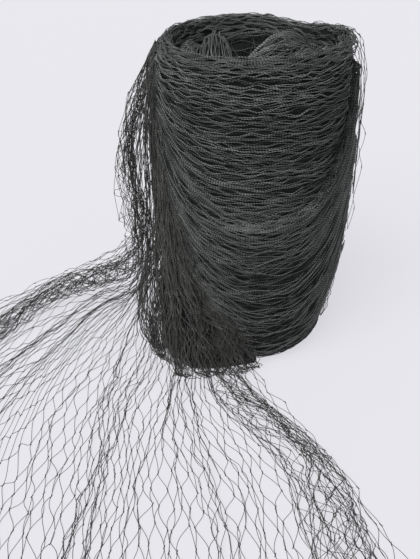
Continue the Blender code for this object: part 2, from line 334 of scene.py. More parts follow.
@dataclass
class NodeKit:
    """Adds nodes to one shader tree."""

    tree: bpy.types.NodeTree

    def feed(self, node: bpy.types.Node, inputs: dict[object, object]) -> None:
        """Link each input of a node to the socket given for it, or set it to the value given."""
        for key, value in inputs.items():
            if isinstance(value, bpy.types.NodeSocket):
                self.tree.links.new(value, node.inputs[key])
            else:
                node.inputs[key].default_value = value

    def add(self, kind: str, inputs: dict[object, object] | None = None,
            **settings: object) -> bpy.types.NodeOutputs:
        """Add a node.

        Args:
            kind: The node's type.
            inputs: Sockets or values for its inputs.
            settings: Its own properties, which are set first.

        Returns:
            Its outputs.
        """
        node = self.tree.nodes.new(kind)
        for name, value in settings.items():
            setattr(node, name, value)
        self.feed(node, inputs or {})
        return node.outputs

    def maths(self, operation: str, *values: object, clamp: bool = False) -> bpy.types.NodeSocket:
        """Output of one Math node fed by sockets or numbers."""
        inputs = dict(enumerate(values))
        return self.add("ShaderNodeMath", inputs, operation=operation, use_clamp=clamp)[0]


def new_material(name: str, shown: Colour) -> tuple[bpy.types.Material, NodeKit, bpy.types.Node]:
    material = bpy.data.materials.new(name)
    material.use_nodes = True
    material.diffuse_color = (*shown, 1.0)
    return material, NodeKit(material.node_tree), material.node_tree.nodes["Principled BSDF"]


@dataclass(frozen=True)
class YarnFinish:
    """The look of one kind of twisted yarn."""

    name: str
    dark: Colour
    pale: Colour
    roughness: float = 0.50
    dust_roughness: float = 0.16
    sheen: float = 0.04
    sheen_roughness: float = 0.4
    specular: float = 0.22
    slant: float = 1.0          # crests passed in one turn round the yarn
    lay: float = 0.0035         # distance from one crest to the next along the yarn
    relief: float = 0.00020
    dust_scale: float = 38.0
    dust_share: float = 0.4
    # Shape of the painted highlight on each ply's crest and of the painted shade in its grooves.
    crest_highlight_power: float = 2.4
    crest_highlight_gain: float = 1.05
    crest_highlight_floor: float = 0.22

    def group(self) -> bpy.types.NodeTree:
        """The shared twisted-yarn group: colour, roughness and height from the yarn's own UV map, with a
        painted highlight on each ply's crest.
        """
        name = "twisted_yarn"
        if name in bpy.data.node_groups:
            return bpy.data.node_groups[name]
        tree = bpy.data.node_groups.new(name, "ShaderNodeTree")
        for label, kind, value in (
            ("Dark", "NodeSocketColor", (0.03, 0.03, 0.03, 1.0)),
            ("Pale", "NodeSocketColor", (0.1, 0.1, 0.1, 1.0)),
            ("Slant", "NodeSocketFloat", 1.0),
            ("Turns", "NodeSocketFloat", 330.0),
            ("Rough", "NodeSocketFloat", 0.55),
            ("Dust", "NodeSocketFloat", 38.0),
        ):
            socket = tree.interface.new_socket(name=label, in_out="INPUT", socket_type=kind)
            socket.default_value = value
        for label, kind in (("Colour", "NodeSocketColor"), ("Roughness", "NodeSocketFloat"),
                            ("Height", "NodeSocketFloat")):
            tree.interface.new_socket(name=label, in_out="OUTPUT", socket_type=kind)
        kit = NodeKit(tree)
        given = kit.add("NodeGroupInput")
        uv = kit.add("ShaderNodeUVMap", uv_map="yarn")
        parts = kit.add("ShaderNodeSeparateXYZ", {0: uv["UV"]})
        along = kit.maths("MULTIPLY", parts["Y"], given["Turns"])
        phase = kit.maths("MULTIPLY_ADD", parts["X"], given["Slant"], along)
        wave = kit.maths("SINE", kit.maths("MULTIPLY", phase, 2.0 * math.pi))
        strand = kit.maths("MULTIPLY_ADD", wave, 0.5, 0.5)
        place = kit.add("ShaderNodeTexCoord")
        dust = kit.add("ShaderNodeTexNoise",
                       {"Detail": 3.0, "Vector": place["Object"], "Scale": given["Dust"]})
        tone = kit.add("ShaderNodeAttribute", attribute_name="tone")
        # Painted highlight: the colour is paler on each ply's crest, and painted shade makes it darker in
        # the grooves between plies.
        crest = kit.maths("POWER", strand, self.crest_highlight_power)
        crest = kit.maths("MULTIPLY_ADD", crest, self.crest_highlight_gain, self.crest_highlight_floor)
        speck = kit.maths("MULTIPLY_ADD", dust["Fac"], self.dust_share, -0.5 * self.dust_share)
        share = kit.maths("ADD", kit.maths("MULTIPLY", tone["Fac"], crest), speck, clamp=True)
        mix = kit.add("ShaderNodeMix", {"Factor": share, "A": given["Dark"], "B": given["Pale"]},
                      data_type="RGBA")
        rough = kit.maths("MULTIPLY_ADD", dust["Fac"], self.dust_roughness, given["Rough"])
        kit.add("NodeGroupOutput", {"Colour": mix["Result"], "Roughness": rough, "Height": strand})
        return tree

    def material(self) -> bpy.types.Material:
        """The material: the shared group feeds a Principled shader."""
        material, kit, shader = new_material(self.name, self.dark)
        yarn = kit.add("ShaderNodeGroup", {
            "Dark": (*self.dark, 1.0),
            "Pale": (*self.pale, 1.0),
            "Slant": self.slant,
            "Turns": 1.0 / self.lay,
            "Rough": self.roughness - 0.5 * self.dust_roughness,
            "Dust": self.dust_scale,
        }, node_tree=self.group())
        bump = kit.add("ShaderNodeBump", {"Distance": self.relief, "Height": yarn["Height"]})
        kit.feed(shader, {
            "Base Color": yarn["Colour"],
            "Roughness": yarn["Roughness"],
            "Normal": bump["Normal"],
            "Metallic": 0.0,
            "Sheen Weight": self.sheen,
            "Sheen Roughness": self.sheen_roughness,
            "Specular IOR Level": self.specular,
        })
        return material


@dataclass(frozen=True)
class DeepShadeFinish:
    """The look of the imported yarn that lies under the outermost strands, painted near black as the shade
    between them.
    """

    name: str
    dark: Colour
    pale: Colour
    stretch: Colour = (60.0, 60.0, 900.0)
    relief: float = 0.0006
    roughness: float = 0.8
    specular: float = 0.2

    def material(self) -> bpy.types.Material:
        """Fine level streaks of packed yarn, from a stretched noise on Object coordinates."""
        material, kit, shader = new_material(self.name, self.dark)
        place = kit.add("ShaderNodeTexCoord")
        stretch = kit.add("ShaderNodeMapping", {"Scale": self.stretch, "Vector": place["Object"]})
        streak = kit.add("ShaderNodeTexNoise",
                         {"Scale": 1.0, "Detail": 4.0, "Vector": stretch["Vector"]})["Fac"]
        mix = kit.add("ShaderNodeMix",
                      {"A": (*self.dark, 1.0), "B": (*self.pale, 1.0), "Factor": streak},
                      data_type="RGBA")
        bump = kit.add("ShaderNodeBump", {"Distance": self.relief, "Height": streak})
        kit.feed(shader, {
            "Base Color": mix["Result"],
            "Normal": bump["Normal"],
            "Roughness": self.roughness,
            "Specular IOR Level": self.specular,
        })
        return material


@dataclass(frozen=True)
class Twist:
    """Lower edge of a layer of the winding that lies over the next one."""

    name: str
    from_deg: float
    from_z: float
    to_deg: float
    to_z: float
    power: float
    proud: float
    reach: float
    groove: float = 0.0

    def edge(self, along: Array) -> Array:
        """Height of the edge at a share, 0 to 1, of its sweep."""
        return self.to_z + (self.from_z - self.to_z) * (1.0 - along) ** self.power


@dataclass(frozen=True)
class Lean:
    """A soft patch where the side leans out of round."""

    name: str
    deg: float
    spread_deg: float
    z: float
    reach: float
    out: float


@dataclass(frozen=True)
class Mound:
    """A soft oval mound or hole of what is folded into the hollow."""

    name: str
    x: float
    y: float
    along_deg: float
    length: float
    width: float
    rise: float


@dataclass(frozen=True)
class RollForm:
    """The roll's shape, shared by every piece that lies on it."""

    height: float = 0.450
    rim_radius: float = 0.119
    rim_dip: float = 0.010
    rim_dip_deg: float = 48.0
    rim_dip_spread_deg: float = 28.0
    hollow_radius: float = 0.106
    hollow_floor: float = 0.414
    floor_below_rim: float = 0.014
    twist_edge: float = 0.006
    twist_fade_deg: float = 12.0
    profile: Rows = (
        (0.000, 0.115), (0.008, 0.1235), (0.025, 0.1300), (0.055, 0.1340), (0.100, 0.1365),
        (0.160, 0.1375), (0.220, 0.1370), (0.300, 0.1360), (0.375, 0.1350), (0.405, 0.1330),
        (0.427, 0.1300), (0.442, 0.1250), (0.450, 0.1190),
    )
    twists: tuple[Twist, ...] = (
        Twist("right_swag", 338, 0.425, 262, 0.250, 3.0, 0.0080, 0.070, 0.0070),
        Twist("left_fan", 184, 0.400, 270, 0.252, 2.7, 0.0045, 0.040),
        Twist("left_low", 186, 0.300, 305, 0.088, 2.3, 0.0050, 0.045),
        Twist("front_low", 190, 0.115, 276, 0.012, 1.2, 0.0040, 0.035),
        Twist("back_left", 186, 0.360, 95, 0.240, 2.2, 0.0040, 0.050),
        Twist("back_right", -22, 0.330, 85, 0.150, 2.0, 0.0040, 0.050),
    )
    leans: tuple[Lean, ...] = (
        Lean("right_foot", 335, 50, 0.020, 0.110, -0.0110),
        Lean("left_shoulder", 190, 26, 0.415, 0.045, 0.0030),
        Lean("behind_base_fold", 347, 19, 0.058, 0.046, -0.0095),
        Lean("behind_side_swag", 353, 21, 0.392, 0.058, -0.0115),
    )
    groove_reach: float = 0.022
    groove_power: float = 1.3
    end_blend: float = 0.030        # over this height the layers fade out at the base and the rim
    mounds: tuple[Mound, ...] = (
        Mound("twisted_hank", 0.034, -0.018, 44, 0.062, 0.019, 0.026),
        Mound("tuft", -0.052, 0.004, 80, 0.034, 0.018, 0.024),
        Mound("left_folds", -0.086, -0.012, 85, 0.040, 0.016, 0.022),
        Mound("right_folds", 0.078, -0.048, 60, 0.034, 0.018, 0.022),
        Mound("back_folds", 0.010, 0.066, 5, 0.060, 0.018, 0.018),
        Mound("core_hole", -0.012, 0.006, 70, 0.032, 0.018, -0.028),
        Mound("right_pocket", 0.078, 0.018, 70, 0.022, 0.014, -0.016),
    )

    def rim(self, azimuth: Array) -> Array:
        """Height of the rim: level but for one dip."""
        away = turn(azimuth - self.rim_dip_deg) / self.rim_dip_spread_deg
        return self.height - self.rim_dip * np.exp(-away ** 2)

    def relief(self, azimuth: Array, height: Array) -> Array:
        """How far the overlapping layers stand proud of the plain roll."""
        total = np.zeros(np.broadcast(azimuth, height).shape)
        for row in self.twists:
            sweep = row.to_deg - row.from_deg
            along = turn(azimuth - row.from_deg - 0.5 * sweep) / sweep + 0.5
            held = np.clip(along, 0.0, 1.0)
            fade = self.twist_fade_deg / abs(sweep)
            window = (np.clip((along + fade) / fade, 0.0, 1.0)
                      * np.clip((1.0 + fade - along) / fade, 0.0, 1.0))
            below = row.edge(held) - height
            rise = 1.0 / (1.0 + np.exp(-4.0 * below / self.twist_edge))
            total = total + row.proud * window * rise * np.exp(-np.clip(below, 0.0, None) / row.reach)
            if row.groove:
                deep = row.groove * window * (1.0 - held) ** self.groove_power * (1.0 - rise)
                total = total - deep * np.exp(-np.clip(-below, 0.0, None) / self.groove_reach)
        return total

    def lean(self, azimuth: Array, height: Array) -> Array:
        """How far the side leans out of round, by soft patches."""
        total = np.zeros(np.broadcast(azimuth, height).shape)
        for row in self.leans:
            aside = turn(azimuth - row.deg) / row.spread_deg
            above = (height - row.z) / row.reach
            total = total + row.out * np.exp(-aside ** 2 - above ** 2)
        return total

    def radius(self, azimuth: Array, height: Array) -> Array:
        """Radius of the roll's side at an azimuth and a height."""
        scaled = np.asarray(height) * self.height / self.rim(azimuth)
        plain = from_table(self.profile, scaled)
        base_blend = np.clip(np.asarray(height) / self.end_blend, 0.0, 1.0)
        rim_blend = np.clip((self.height - scaled) / self.end_blend, 0.0, 1.0)
        return (plain + self.lean(azimuth, height) * rim_blend
                + self.relief(azimuth, height) * base_blend * rim_blend)

    def keep_outside(self, points: Array, gap: Array) -> Array:
        """Move points that are nearer the roll's side than the gap straight out to it."""
        azimuth = np.degrees(np.arctan2(points[..., 1], points[..., 0]))
        radius = np.hypot(points[..., 0], points[..., 1])
        beside = points[..., 2] < self.rim(azimuth)
        least = np.where(beside, self.radius(azimuth, points[..., 2]) + gap, 0.0)
        moved = points.copy()
        moved[..., :2] *= (np.maximum(radius, least) / radius)[..., None]
        return moved

    def floor(self, x: Array, y: Array) -> Array:
        """Height of what is folded into the hollow."""
        height = np.full(np.broadcast(x, y).shape, self.hollow_floor)
        for row in self.mounds:
            angle = math.radians(row.along_deg)
            along = (x - row.x) * math.cos(angle) + (y - row.y) * math.sin(angle)
            across = (y - row.y) * math.cos(angle) - (x - row.x) * math.sin(angle)
            height = height + row.rise * np.exp(-(along / row.length) ** 2 - (across / row.width) ** 2)
        top = self.rim(np.degrees(np.arctan2(y, x))) - self.floor_below_rim
        return np.minimum(height, top)


@dataclass
class RollCore:
    """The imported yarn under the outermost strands: one closed loft of rings."""

    form: RollForm
    inset: float = 0.0016
    segments: int = 180
    side_rings: int = 110
    floor_rings: int = 34
    foot_inner: float = 0.112
    foot_sections: int = 44
    foot_places: int = 12
    foot_lumps: float = 0.0026
    lip: Rows = (            # in from the rim, down from the rim
        (0.004, 0.0005), (0.008, 0.002), (0.0115, 0.007), (0.013, 0.012),
    )
    foot: Rows = (            # azimuth, radius on the ground, top height
        (189, 0.128, 0.030), (196, 0.146, 0.150), (204, 0.162, 0.190), (213, 0.167, 0.180),
        (223, 0.168, 0.145), (232, 0.169, 0.105), (239, 0.160, 0.080), (248, 0.146, 0.058),
        (258, 0.135, 0.036), (268, 0.127, 0.012),
    )

    def rings(self) -> Array:
        """Rings from the foot of the side, up and over the rim, to the middle of the hollow."""
        azimuth = np.arange(self.segments) * 360.0 / self.segments
        rim = self.form.rim(azimuth)
        share = np.linspace(0.0, 1.0, self.side_rings)[:, None]
        height = share * (rim - self.inset)[None, :]
        height[0] = 0.0
        side = on_ring(azimuth[None, :], self.form.radius(azimuth[None, :], height) - self.inset, height)
        lip = [on_ring(azimuth, self.form.rim_radius - inset, rim - drop - self.inset)
               for inset, drop in self.lip]
        reach = self.form.hollow_radius * np.arange(self.floor_rings, 0, -1)[:, None] / self.floor_rings
        floor = on_ring(azimuth[None, :], reach, 0.0)
        floor[..., 2] = self.form.floor(floor[..., 0], floor[..., 1]) - self.inset
        return np.concatenate([side, np.array(lip), floor])

    def foot_fold(self) -> tuple[Array, Array, Array]:
        """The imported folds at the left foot: a closed loft of upright sections against the roll.

        Each section runs from the roll's side at its top height z0 out to the ground radius r0,
        r = r1 + (r0 - r1) sin(s)^1.3 and z = z0 cos(s)^0.9 for s from 0 to a quarter turn, with
        soft lumps, and closes under the roll.

        Returns:
            Points, face corners and where each face starts.
        """
        table = np.array(self.foot)
        azimuth = np.linspace(table[0, 0], table[-1, 0], self.foot_sections)
        ground, top = smooth_through(table[:, 0], table[:, 1:], azimuth).T[:, :, None]
        s = np.linspace(0.0, 0.5 * np.pi, self.foot_places)[None, :]
        lumps = self.foot_lumps * Ripple(71, (3, 9), (0.3, 0.9)).at(azimuth[:, None] / 90.0, s)
        lumps = lumps * np.sin(2.0 * s)
        side = self.form.radius(azimuth[:, None], top) - 2.0 * self.inset
        radius = side + (ground - side) * np.sin(s) ** 1.3 + lumps
        height = top * np.clip(np.cos(s), 0.0, 1.0) ** 0.9 + lumps
        inner = np.full_like(top, self.foot_inner)
        radius = np.concatenate([inner, radius, inner], axis=1)
        height = np.concatenate([top, np.maximum(height, 0.0), np.zeros_like(top)], axis=1)
        sections, places = radius.shape
        index, quads = loft_quads(sections, places)
        corners = np.concatenate([quads.ravel(), index[0, ::-1], index[-1]])
        starts = np.concatenate([4 * np.arange(len(quads)), 4 * len(quads) + places * np.arange(2)])
        return on_ring(azimuth[:, None], radius, height).reshape(-1, 3), corners, starts

    def build(self, material: bpy.types.Material) -> None:
        """Close the loft at its base and in the hollow's middle and make the piece."""
        rings = self.rings()
        count, around = rings.shape[:2]
        centre_z = float(self.form.floor(np.array(0.0), np.array(0.0))) - self.inset
        points = np.concatenate([rings.reshape(-1, 3), [(0.0, 0.0, 0.0), (0.0, 0.0, centre_z)]])
        index, quads = loft_quads(count, around)
        base = np.stack([np.full(around, len(points) - 2), np.roll(index[0], -1), index[0]], axis=-1)
        top = np.stack([np.full(around, len(points) - 1), index[-1], np.roll(index[-1], -1)], axis=-1)
        corners = np.concatenate([quads.ravel(), base.ravel(), top.ravel()])
        starts = np.concatenate([4 * np.arange(len(quads)), 4 * len(quads) + 3 * np.arange(2 * around)])
        foot, foot_corners, foot_starts = self.foot_fold()
        starts = np.concatenate([starts, len(corners) + foot_starts])
        corners = np.concatenate([corners, len(points) + foot_corners])
        points = np.concatenate([points, foot])
        new_piece("roll_core", new_mesh("roll_core", points, corners, starts), material, Slot.ROLL)
        LOG.info("roll_core: %d rings of %d", count, around)


@dataclass(frozen=True)
class Layer:
    """One layer of strands on the roll: labels are the heights of its strands at the front."""

    name: str
    count: int
    low: float
    high: float
    lift: float
    pale: float
    seed: int
    from_deg: float = 0.0
    to_deg: float = 360.0


@dataclass
class RollStrands:
    """The strands that show on the roll: collapsed meshes, neighbour against neighbour."""

    form: RollForm
    bars_round: int = 30            # knots in one turn, an even number so that the waves close
    bar_places: tuple[float, ...] = (0.0, 0.08, 0.28, 0.50, 0.72, 0.92)
    yarn_radius: float = 0.00052
    knot_swell: float = 1.7
    knot_reach: float = 0.08
    pair_gap: float = 0.00108
    wave: float = 0.0005
    lock_sway: float = 0.00085
    slow_sway: float = 0.0016
    lock_depth: float = 0.0009
    kink: float = 0.00026
    top_gap: float = 0.0012
    foot_shade: float = 0.56
    foot_fade: float = 0.27         # height at which the foot's shade ends
    right_shade: float = 0.35
    wedge_reach: float = 0.030
    steepest: float = 1.2
    mean_radius: float = 0.137
    left_shade: float = 0.80
    steep_shade: float = 0.60
    open_shade: float = 0.68
    slack_wave: float = 2.2
    wedge_shade: float = 0.80
    tone_spread: float = 0.16       # of single strands
    pair_spread: float = 0.14       # of pairs of strands
    fan_spread: float = 0.20        # more of it in the fan at the left
    fan_lowered: float = 0.13
    left_deg: float = 186.0         # the left shoulder; angles below are counted on from it
    left_span: float = 84.0
    right_start: float = 76.0
    front_span: float = 152.0       # to the right shoulder
    upper_start: float = 100.0
    left_rise: Rows = (            # height in front, height at the left
        (0.01, 0.115), (0.09, 0.300), (0.25, 0.400), (0.35, 0.422), (0.44, 0.441),
    )
    right_rise: Rows = (            # height in front, height at the right
        (0.01, 0.100), (0.09, 0.240), (0.15, 0.330), (0.25, 0.425), (0.44, 0.440),
    )
    left_power: Rows = ((0.01, 1.1), (0.09, 1.8), (0.25, 2.6), (0.44, 3.2))
    upper_power: Rows = ((0.25, 2.6), (0.44, 4.0))
    # The under layer's paleness, 0.03, is a painted shade: nearly black strands in the gaps between the
    # outer ones.
    under: Layer = Layer("strands_under", 122, 0.004, 0.436, -0.0012, 0.03, 11)
    low: Layer = Layer("strands_low", 66, 0.003, 0.134, 0.0008, 0.46, 21)
    swept: Layer = Layer("strands_swept", 68, 0.136, 0.252, 0.0010, 0.52, 25)
    band: Layer = Layer("strands_band", 22, 0.2400, 0.2515, 0.0026, 0.54, 27, 252.0, 340.0)
    upper: Layer = Layer("strands_upper", 114, 0.2535, 0.4445, 0.0008, 0.64, 31, 176.0, 341.0)
    rim_count: int = 64
    rim_section: Rows = (            # share, radius, drop from the rim
        (-0.05, 0.1288, 0.0125), (0.0, 0.1278, 0.0110), (0.18, 0.1245, 0.0050),
        (0.34, 0.1212, 0.0012), (0.50, 0.1175, 0.0000), (0.66, 0.1135, 0.0015),
        (0.84, 0.1098, 0.0065), (1.0, 0.1068, 0.0120), (1.6, 0.1058, 0.0340),
    )
    loose_count: int = 66
    loose_from_deg: float = 206.0
    loose_to_deg: float = 346.0
    loose_pale: float = 0.72
    loose_thin: float = 0.70

    def places(self, count: int, seed: int) -> tuple[Array, Array]:
        """Azimuths of the points of each strand's turn, and their bar numbers.

        Args:
            count: Number of strands.
            seed: Seed of the drift of the knots from strand to strand.

        Returns:
            Azimuths by strand and place, and bar numbers by place.
        """
        bars = (np.arange(self.bars_round)[:, None] + np.array(self.bar_places)[None, :]).ravel()
        drift = 7.0 * Ripple(seed + 9, (1, 1), (0.02, 0.09)).at(0.0, np.arange(count) * 1.0)
        return (bars * 360.0 / self.bars_round)[None, :] + drift[:, None], bars

    def swell(self, bars: Array) -> Array:
        """Radius along a strand: the yarn's own, with a thicker knot at each whole bar."""
        away = np.abs(bars - np.round(bars))
        knot = np.clip(1.0 - away / self.knot_reach, 0.0, 1.0)
        return self.yarn_radius * (1.0 + (self.knot_swell - 1.0) * knot)

    def flow(self, label: Array, azimuth: Array) -> Array:
        """Height of an outer strand: low in front, swept up to both shoulders and high behind.

        z = h + (left(h) - h) u^p on the left and h + (right(h) - h) v^3 on the right, where u and v
        run from 0 in front to 1 at each shoulder; behind, the two ends are joined by an S-curve.

        Args:
            label: Height of each strand at the front, as a column.
            azimuth: Azimuths, in degrees, by strand and place.

        Returns:
            Heights, by strand and place.
        """
        left = from_table(self.left_rise, label)
        right = from_table(self.right_rise, label)
        power = from_table(self.left_power, label)
        place = (azimuth - self.left_deg) % 360.0
        u = np.clip((self.left_span - place) / self.left_span, 0.0, 1.0)
        v = np.clip((place - self.right_start) / (self.front_span - self.right_start), 0.0, 1.0)
        front = label + (left - label) * u ** power + (right - label) * v ** 3.0
        back = np.clip((place - self.front_span) / (360.0 - self.front_span), 0.0, 1.0)
        behind = right + (left - right) * ease(back) - 0.03 * np.sin(np.pi * back)
        return np.where(place <= self.front_span, front, behind)

    def upper_flow(self, label: Array, azimuth: Array) -> Array:
        """Height of the strands above the swag: nearly level, and drawn together at the left."""
        left = from_table(self.left_rise, label)
        place = turn(azimuth - FRONT_DEG) + self.left_span
        u = np.clip((self.left_span - place) / self.left_span, 0.0, 1.1)
        v = np.clip((place - self.upper_start) / (self.front_span - self.upper_start), 0.0, 1.2)
        power = from_table(self.upper_power, label)
        return label + (left - label) * u ** power + 0.02 * v ** 2 * (0.45 - label) / 0.2

    def lay(self, heights: Array, azimuth: Array, bars: Array, layer: Layer) -> tuple[Array, Array]:
        """Strands on the roll, from heights, with antiphase waves and locks.

        Args:
            heights: Height, by strand and place.
            azimuth: Azimuths, by strand and place.
            bars: Bar numbers of the places.
            layer: The layer that they belong to.

        Returns:
            Points and the paleness of each point.
        """
        count = len(heights)
        each = np.arange(count)[:, None]
        number = (each // 2) * 1.0
        turns = azimuth / 360.0
        rng = np.random.default_rng(layer.seed)
        sway = Ripple(layer.seed + 1, (12, 34), (0.14, 0.42)).at(turns, number)
        slow = Ripple(layer.seed + 2, (3, 9), (0.03, 0.12)).at(turns, number)
        depth = Ripple(layer.seed + 3, (4, 20), (0.14, 0.45)).at(turns, number)
        opening = 0.75 + 0.75 * Ripple(layer.seed + 4, (5, 16), (0.10, 0.30)).at(turns, number)
        slack = 1.0 + self.slack_wave * self.lower_right(azimuth, heights)
        wave = self.wave * opening * slack * (1.0 - np.cos(2.0 * np.pi * bars[None, :]))
        wave = alternate(each) * (0.5 * self.pair_gap + wave)
        moved = heights + self.lock_sway * sway + self.slow_sway * slow + wave
        moved = moved + self.kink * rng.standard_normal(moved.shape)
        moved = np.clip(moved, self.yarn_radius, self.form.rim(azimuth) - self.top_gap)
        radius = self.form.radius(azimuth, moved) + layer.lift + self.lock_depth * depth
        fan = ease((295.0 - azimuth) / 70.0) * ease((azimuth - 170.0) / 20.0)
        lowered = self.fan_lowered if layer in (self.low, self.swept) else 0.0
        single = rng.standard_normal((count, 1))
        tone = layer.pale + (self.tone_spread + self.fan_spread * fan) * single - lowered * fan
        paired = np.repeat(rng.standard_normal(((count + 1) // 2, 1)), 2, axis=0)[:count]
        # Painted shade: locks that lie deeper are darker, and proud ones paler (0.08 * depth).
        tone = np.clip(tone + self.pair_spread * paired + 0.08 * depth, 0.0, 1.0)
        return on_ring(azimuth, radius, moved), tone * self.shade(azimuth, moved, layer)

    def shade(self, azimuth: Array, height: Array, layer: Layer) -> Array:
        """Painted shade: the share of its paleness that a strand keeps, less at the foot, at the right and
        in the wedge.
        """
        foot = 1.0 - self.foot_shade * (1.0 - ease(height / self.foot_fade))
        right = 1.0 - self.right_shade * ease((turn(azimuth - 285.0)) / 60.0)
        hidden = (1.0 - ease(turn(azimuth - 203.0) / 24.0)) * ease(turn(azimuth - 150.0) / 20.0)
        left = 1.0 - self.left_shade * hidden * ease((0.375 - height) / 0.08)
        wedge = np.ones_like(right)
        if layer is self.upper:
            row = self.form.twists[0]
            along = np.clip(turn(azimuth - row.from_deg) / (row.to_deg - row.from_deg), 0.0, 1.0)
            near = np.exp(-np.clip(height - row.edge(along), 0.0, None) / self.wedge_reach)
            wedge = 1.0 - self.wedge_shade * near * (1.0 - along) ** 1.2
        run = np.radians(np.gradient(azimuth, axis=1)) * self.mean_radius
        steep = np.abs(np.gradient(height, axis=1) / run)
        steep = np.clip(steep, 0.0, self.steepest) / self.steepest
        lower = 0.0 if layer is self.band else self.lower_right(azimuth, height)
        kept = (1.0 - self.steep_shade * steep) * (1.0 - self.open_shade * lower)
        return foot * right * left * wedge * kept

    def lower_right(self, azimuth: Array, height: Array) -> Array:
        """Share, 0 to 1, of the lower right of the front, where the wound net lies slack and open."""
        return ease(turn(azimuth - 250.0) / 22.0) * ease((0.235 - height) / 0.05)

    def layer_mesh(self, layer: Layer) -> YarnMesh:
        """Lay one layer of strands as closed turns, or as a stretch of each turn."""
        azimuth, bars = self.places(layer.count, layer.seed)
        label = np.repeat(np.linspace(layer.low, layer.high, layer.count // 2), 2)[:, None]
        if layer is self.under:
            number = np.arange(layer.count)[:, None] * 1.0
            heights = label + 0.006 * Ripple(5, (1, 3), (0.004, 0.02), 4).at(azimuth / 360.0, number)
        elif layer is self.upper:
            heights = self.upper_flow(label, azimuth)
        else:
            heights = self.flow(label, azimuth)
        points, tone = self.lay(heights, azimuth, bars, layer)
        swell = self.swell(bars)[None, :]
        mesh = YarnMesh()
        if layer.to_deg - layer.from_deg >= 360.0:
            mesh.add(points, outward(points), swell, tone, closed=True)
        else:
            place = bars * 360.0 / self.bars_round
            shown = (place >= layer.from_deg) & (place <= layer.to_deg)
            mesh.add(points[:, shown], outward(points[:, shown]), swell[:, shown], tone[:, shown])
        return mesh

    def rim_mesh(self) -> YarnMesh:
        """Loops that follow the rim, from the shoulder over the lip and down the hollow's wall."""
        azimuth, bars = self.places(self.rim_count, 47)
        each = np.arange(self.rim_count)[:, None]
        share = np.repeat(np.linspace(0.0, 1.55, self.rim_count // 2), 2)[:, None]
        number = (each // 2) * 1.0
        turns = azimuth / 360.0
        share = share + 0.026 * Ripple(41, (8, 26), (0.14, 0.40)).at(turns, number)
        share = share + 0.026 * Ripple(44, (3, 8), (0.05, 0.20)).at(turns, number)
        wave = 0.016 + 0.012 * np.cos(2.0 * np.pi * bars[None, :])
        share = np.clip(share + wave * alternate(each), -0.03, 1.6)
        knots, radii, drops = np.array(self.rim_section).T
        height = self.form.rim(azimuth) - np.interp(share, knots, drops)
        depth = 0.0010 * Ripple(42, (4, 18), (0.10, 0.40)).at(turns, number)
        slope = np.pi * np.clip(share, 0.0, 1.0)
        normals = unit(on_ring(azimuth, np.cos(slope), np.sin(slope)))
        points = on_ring(azimuth, np.interp(share, knots, radii), height)
        points = points + normals * (0.0006 + depth)[..., None]
        tone = 0.55 + 0.2 * np.random.default_rng(43).standard_normal((self.rim_count, 1))
        # Painted light: the strands are paler over the back of the rim, around azimuth 95.
        tone = np.clip(tone + 0.35 * ease((60.0 - np.abs(turn(azimuth - 95.0))) / 40.0), 0.0, 1.0)
        mesh = YarnMesh()
        mesh.add(points, normals, self.swell(bars)[None, :], tone, closed=True)
        return mesh

    def loose_mesh(self) -> YarnMesh:
        """Single yarns that lie slack over the lower half, in long crossing waves."""
        rng = np.random.default_rng(51)
        count = self.loose_count
        azimuth, bars = self.places(count, 53)
        place = bars * 360.0 / self.bars_round
        shown = (place >= self.loose_from_deg) & (place <= self.loose_to_deg)
        across, bars = azimuth[:, shown], bars[shown]
        number = np.arange(count)[:, None] * 1.0
        base = self.flow(rng.uniform(0.010, 0.240, (count, 1)), across)
        turns = across / 360.0
        long_wave = 0.0050 * np.sin(2.0 * np.pi * (turns * rng.uniform(5.0, 11.0, (count, 1))
                                                   + rng.uniform(0.0, 1.0, (count, 1))))
        tilt = rng.uniform(-0.022, 0.022, (count, 1)) * (across - 275.0) / 60.0
        fine = 0.0017 * np.cos(np.pi * bars)[None, :] * alternate(number)
        height = np.clip(base + long_wave + tilt + fine, 0.004, 0.43)
        lift = 0.0024 + 0.0006 * Ripple(52, (4, 9), (0.2, 0.4)).at(turns, number)
        points = on_ring(across, self.form.radius(across, height) + lift, height)
        tone = np.clip(self.loose_pale + 0.15 * rng.standard_normal(count), 0.0, 1.0)
        mesh = YarnMesh()
        mesh.add(points, outward(points), self.swell(bars)[None, :] * self.loose_thin, tone)
        return mesh

    def build(self, material: bpy.types.Material) -> None:
        """Lay the strands in layers, innermost first, and make the pieces."""
        for layer in (self.under, self.low, self.swept, self.band, self.upper):
            self.layer_mesh(layer).build(layer.name, material, Slot.ROLL)
        self.rim_mesh().build("strands_rim", material, Slot.ROLL)
        self.loose_mesh().build("strands_loose", material, Slot.ROLL)


@dataclass(frozen=True)
class Bundle:
    """A run of strands in the hollow: a bent path, its spread at both ends and how it lies."""

    name: str
    start: tuple[float, float]
    middle: tuple[float, float]
    end: tuple[float, float]
    spread_start: float
    spread_end: float
    count: int
    lift: float
    wander: float
    twist: float = 0.0
    pale: float = 0.45


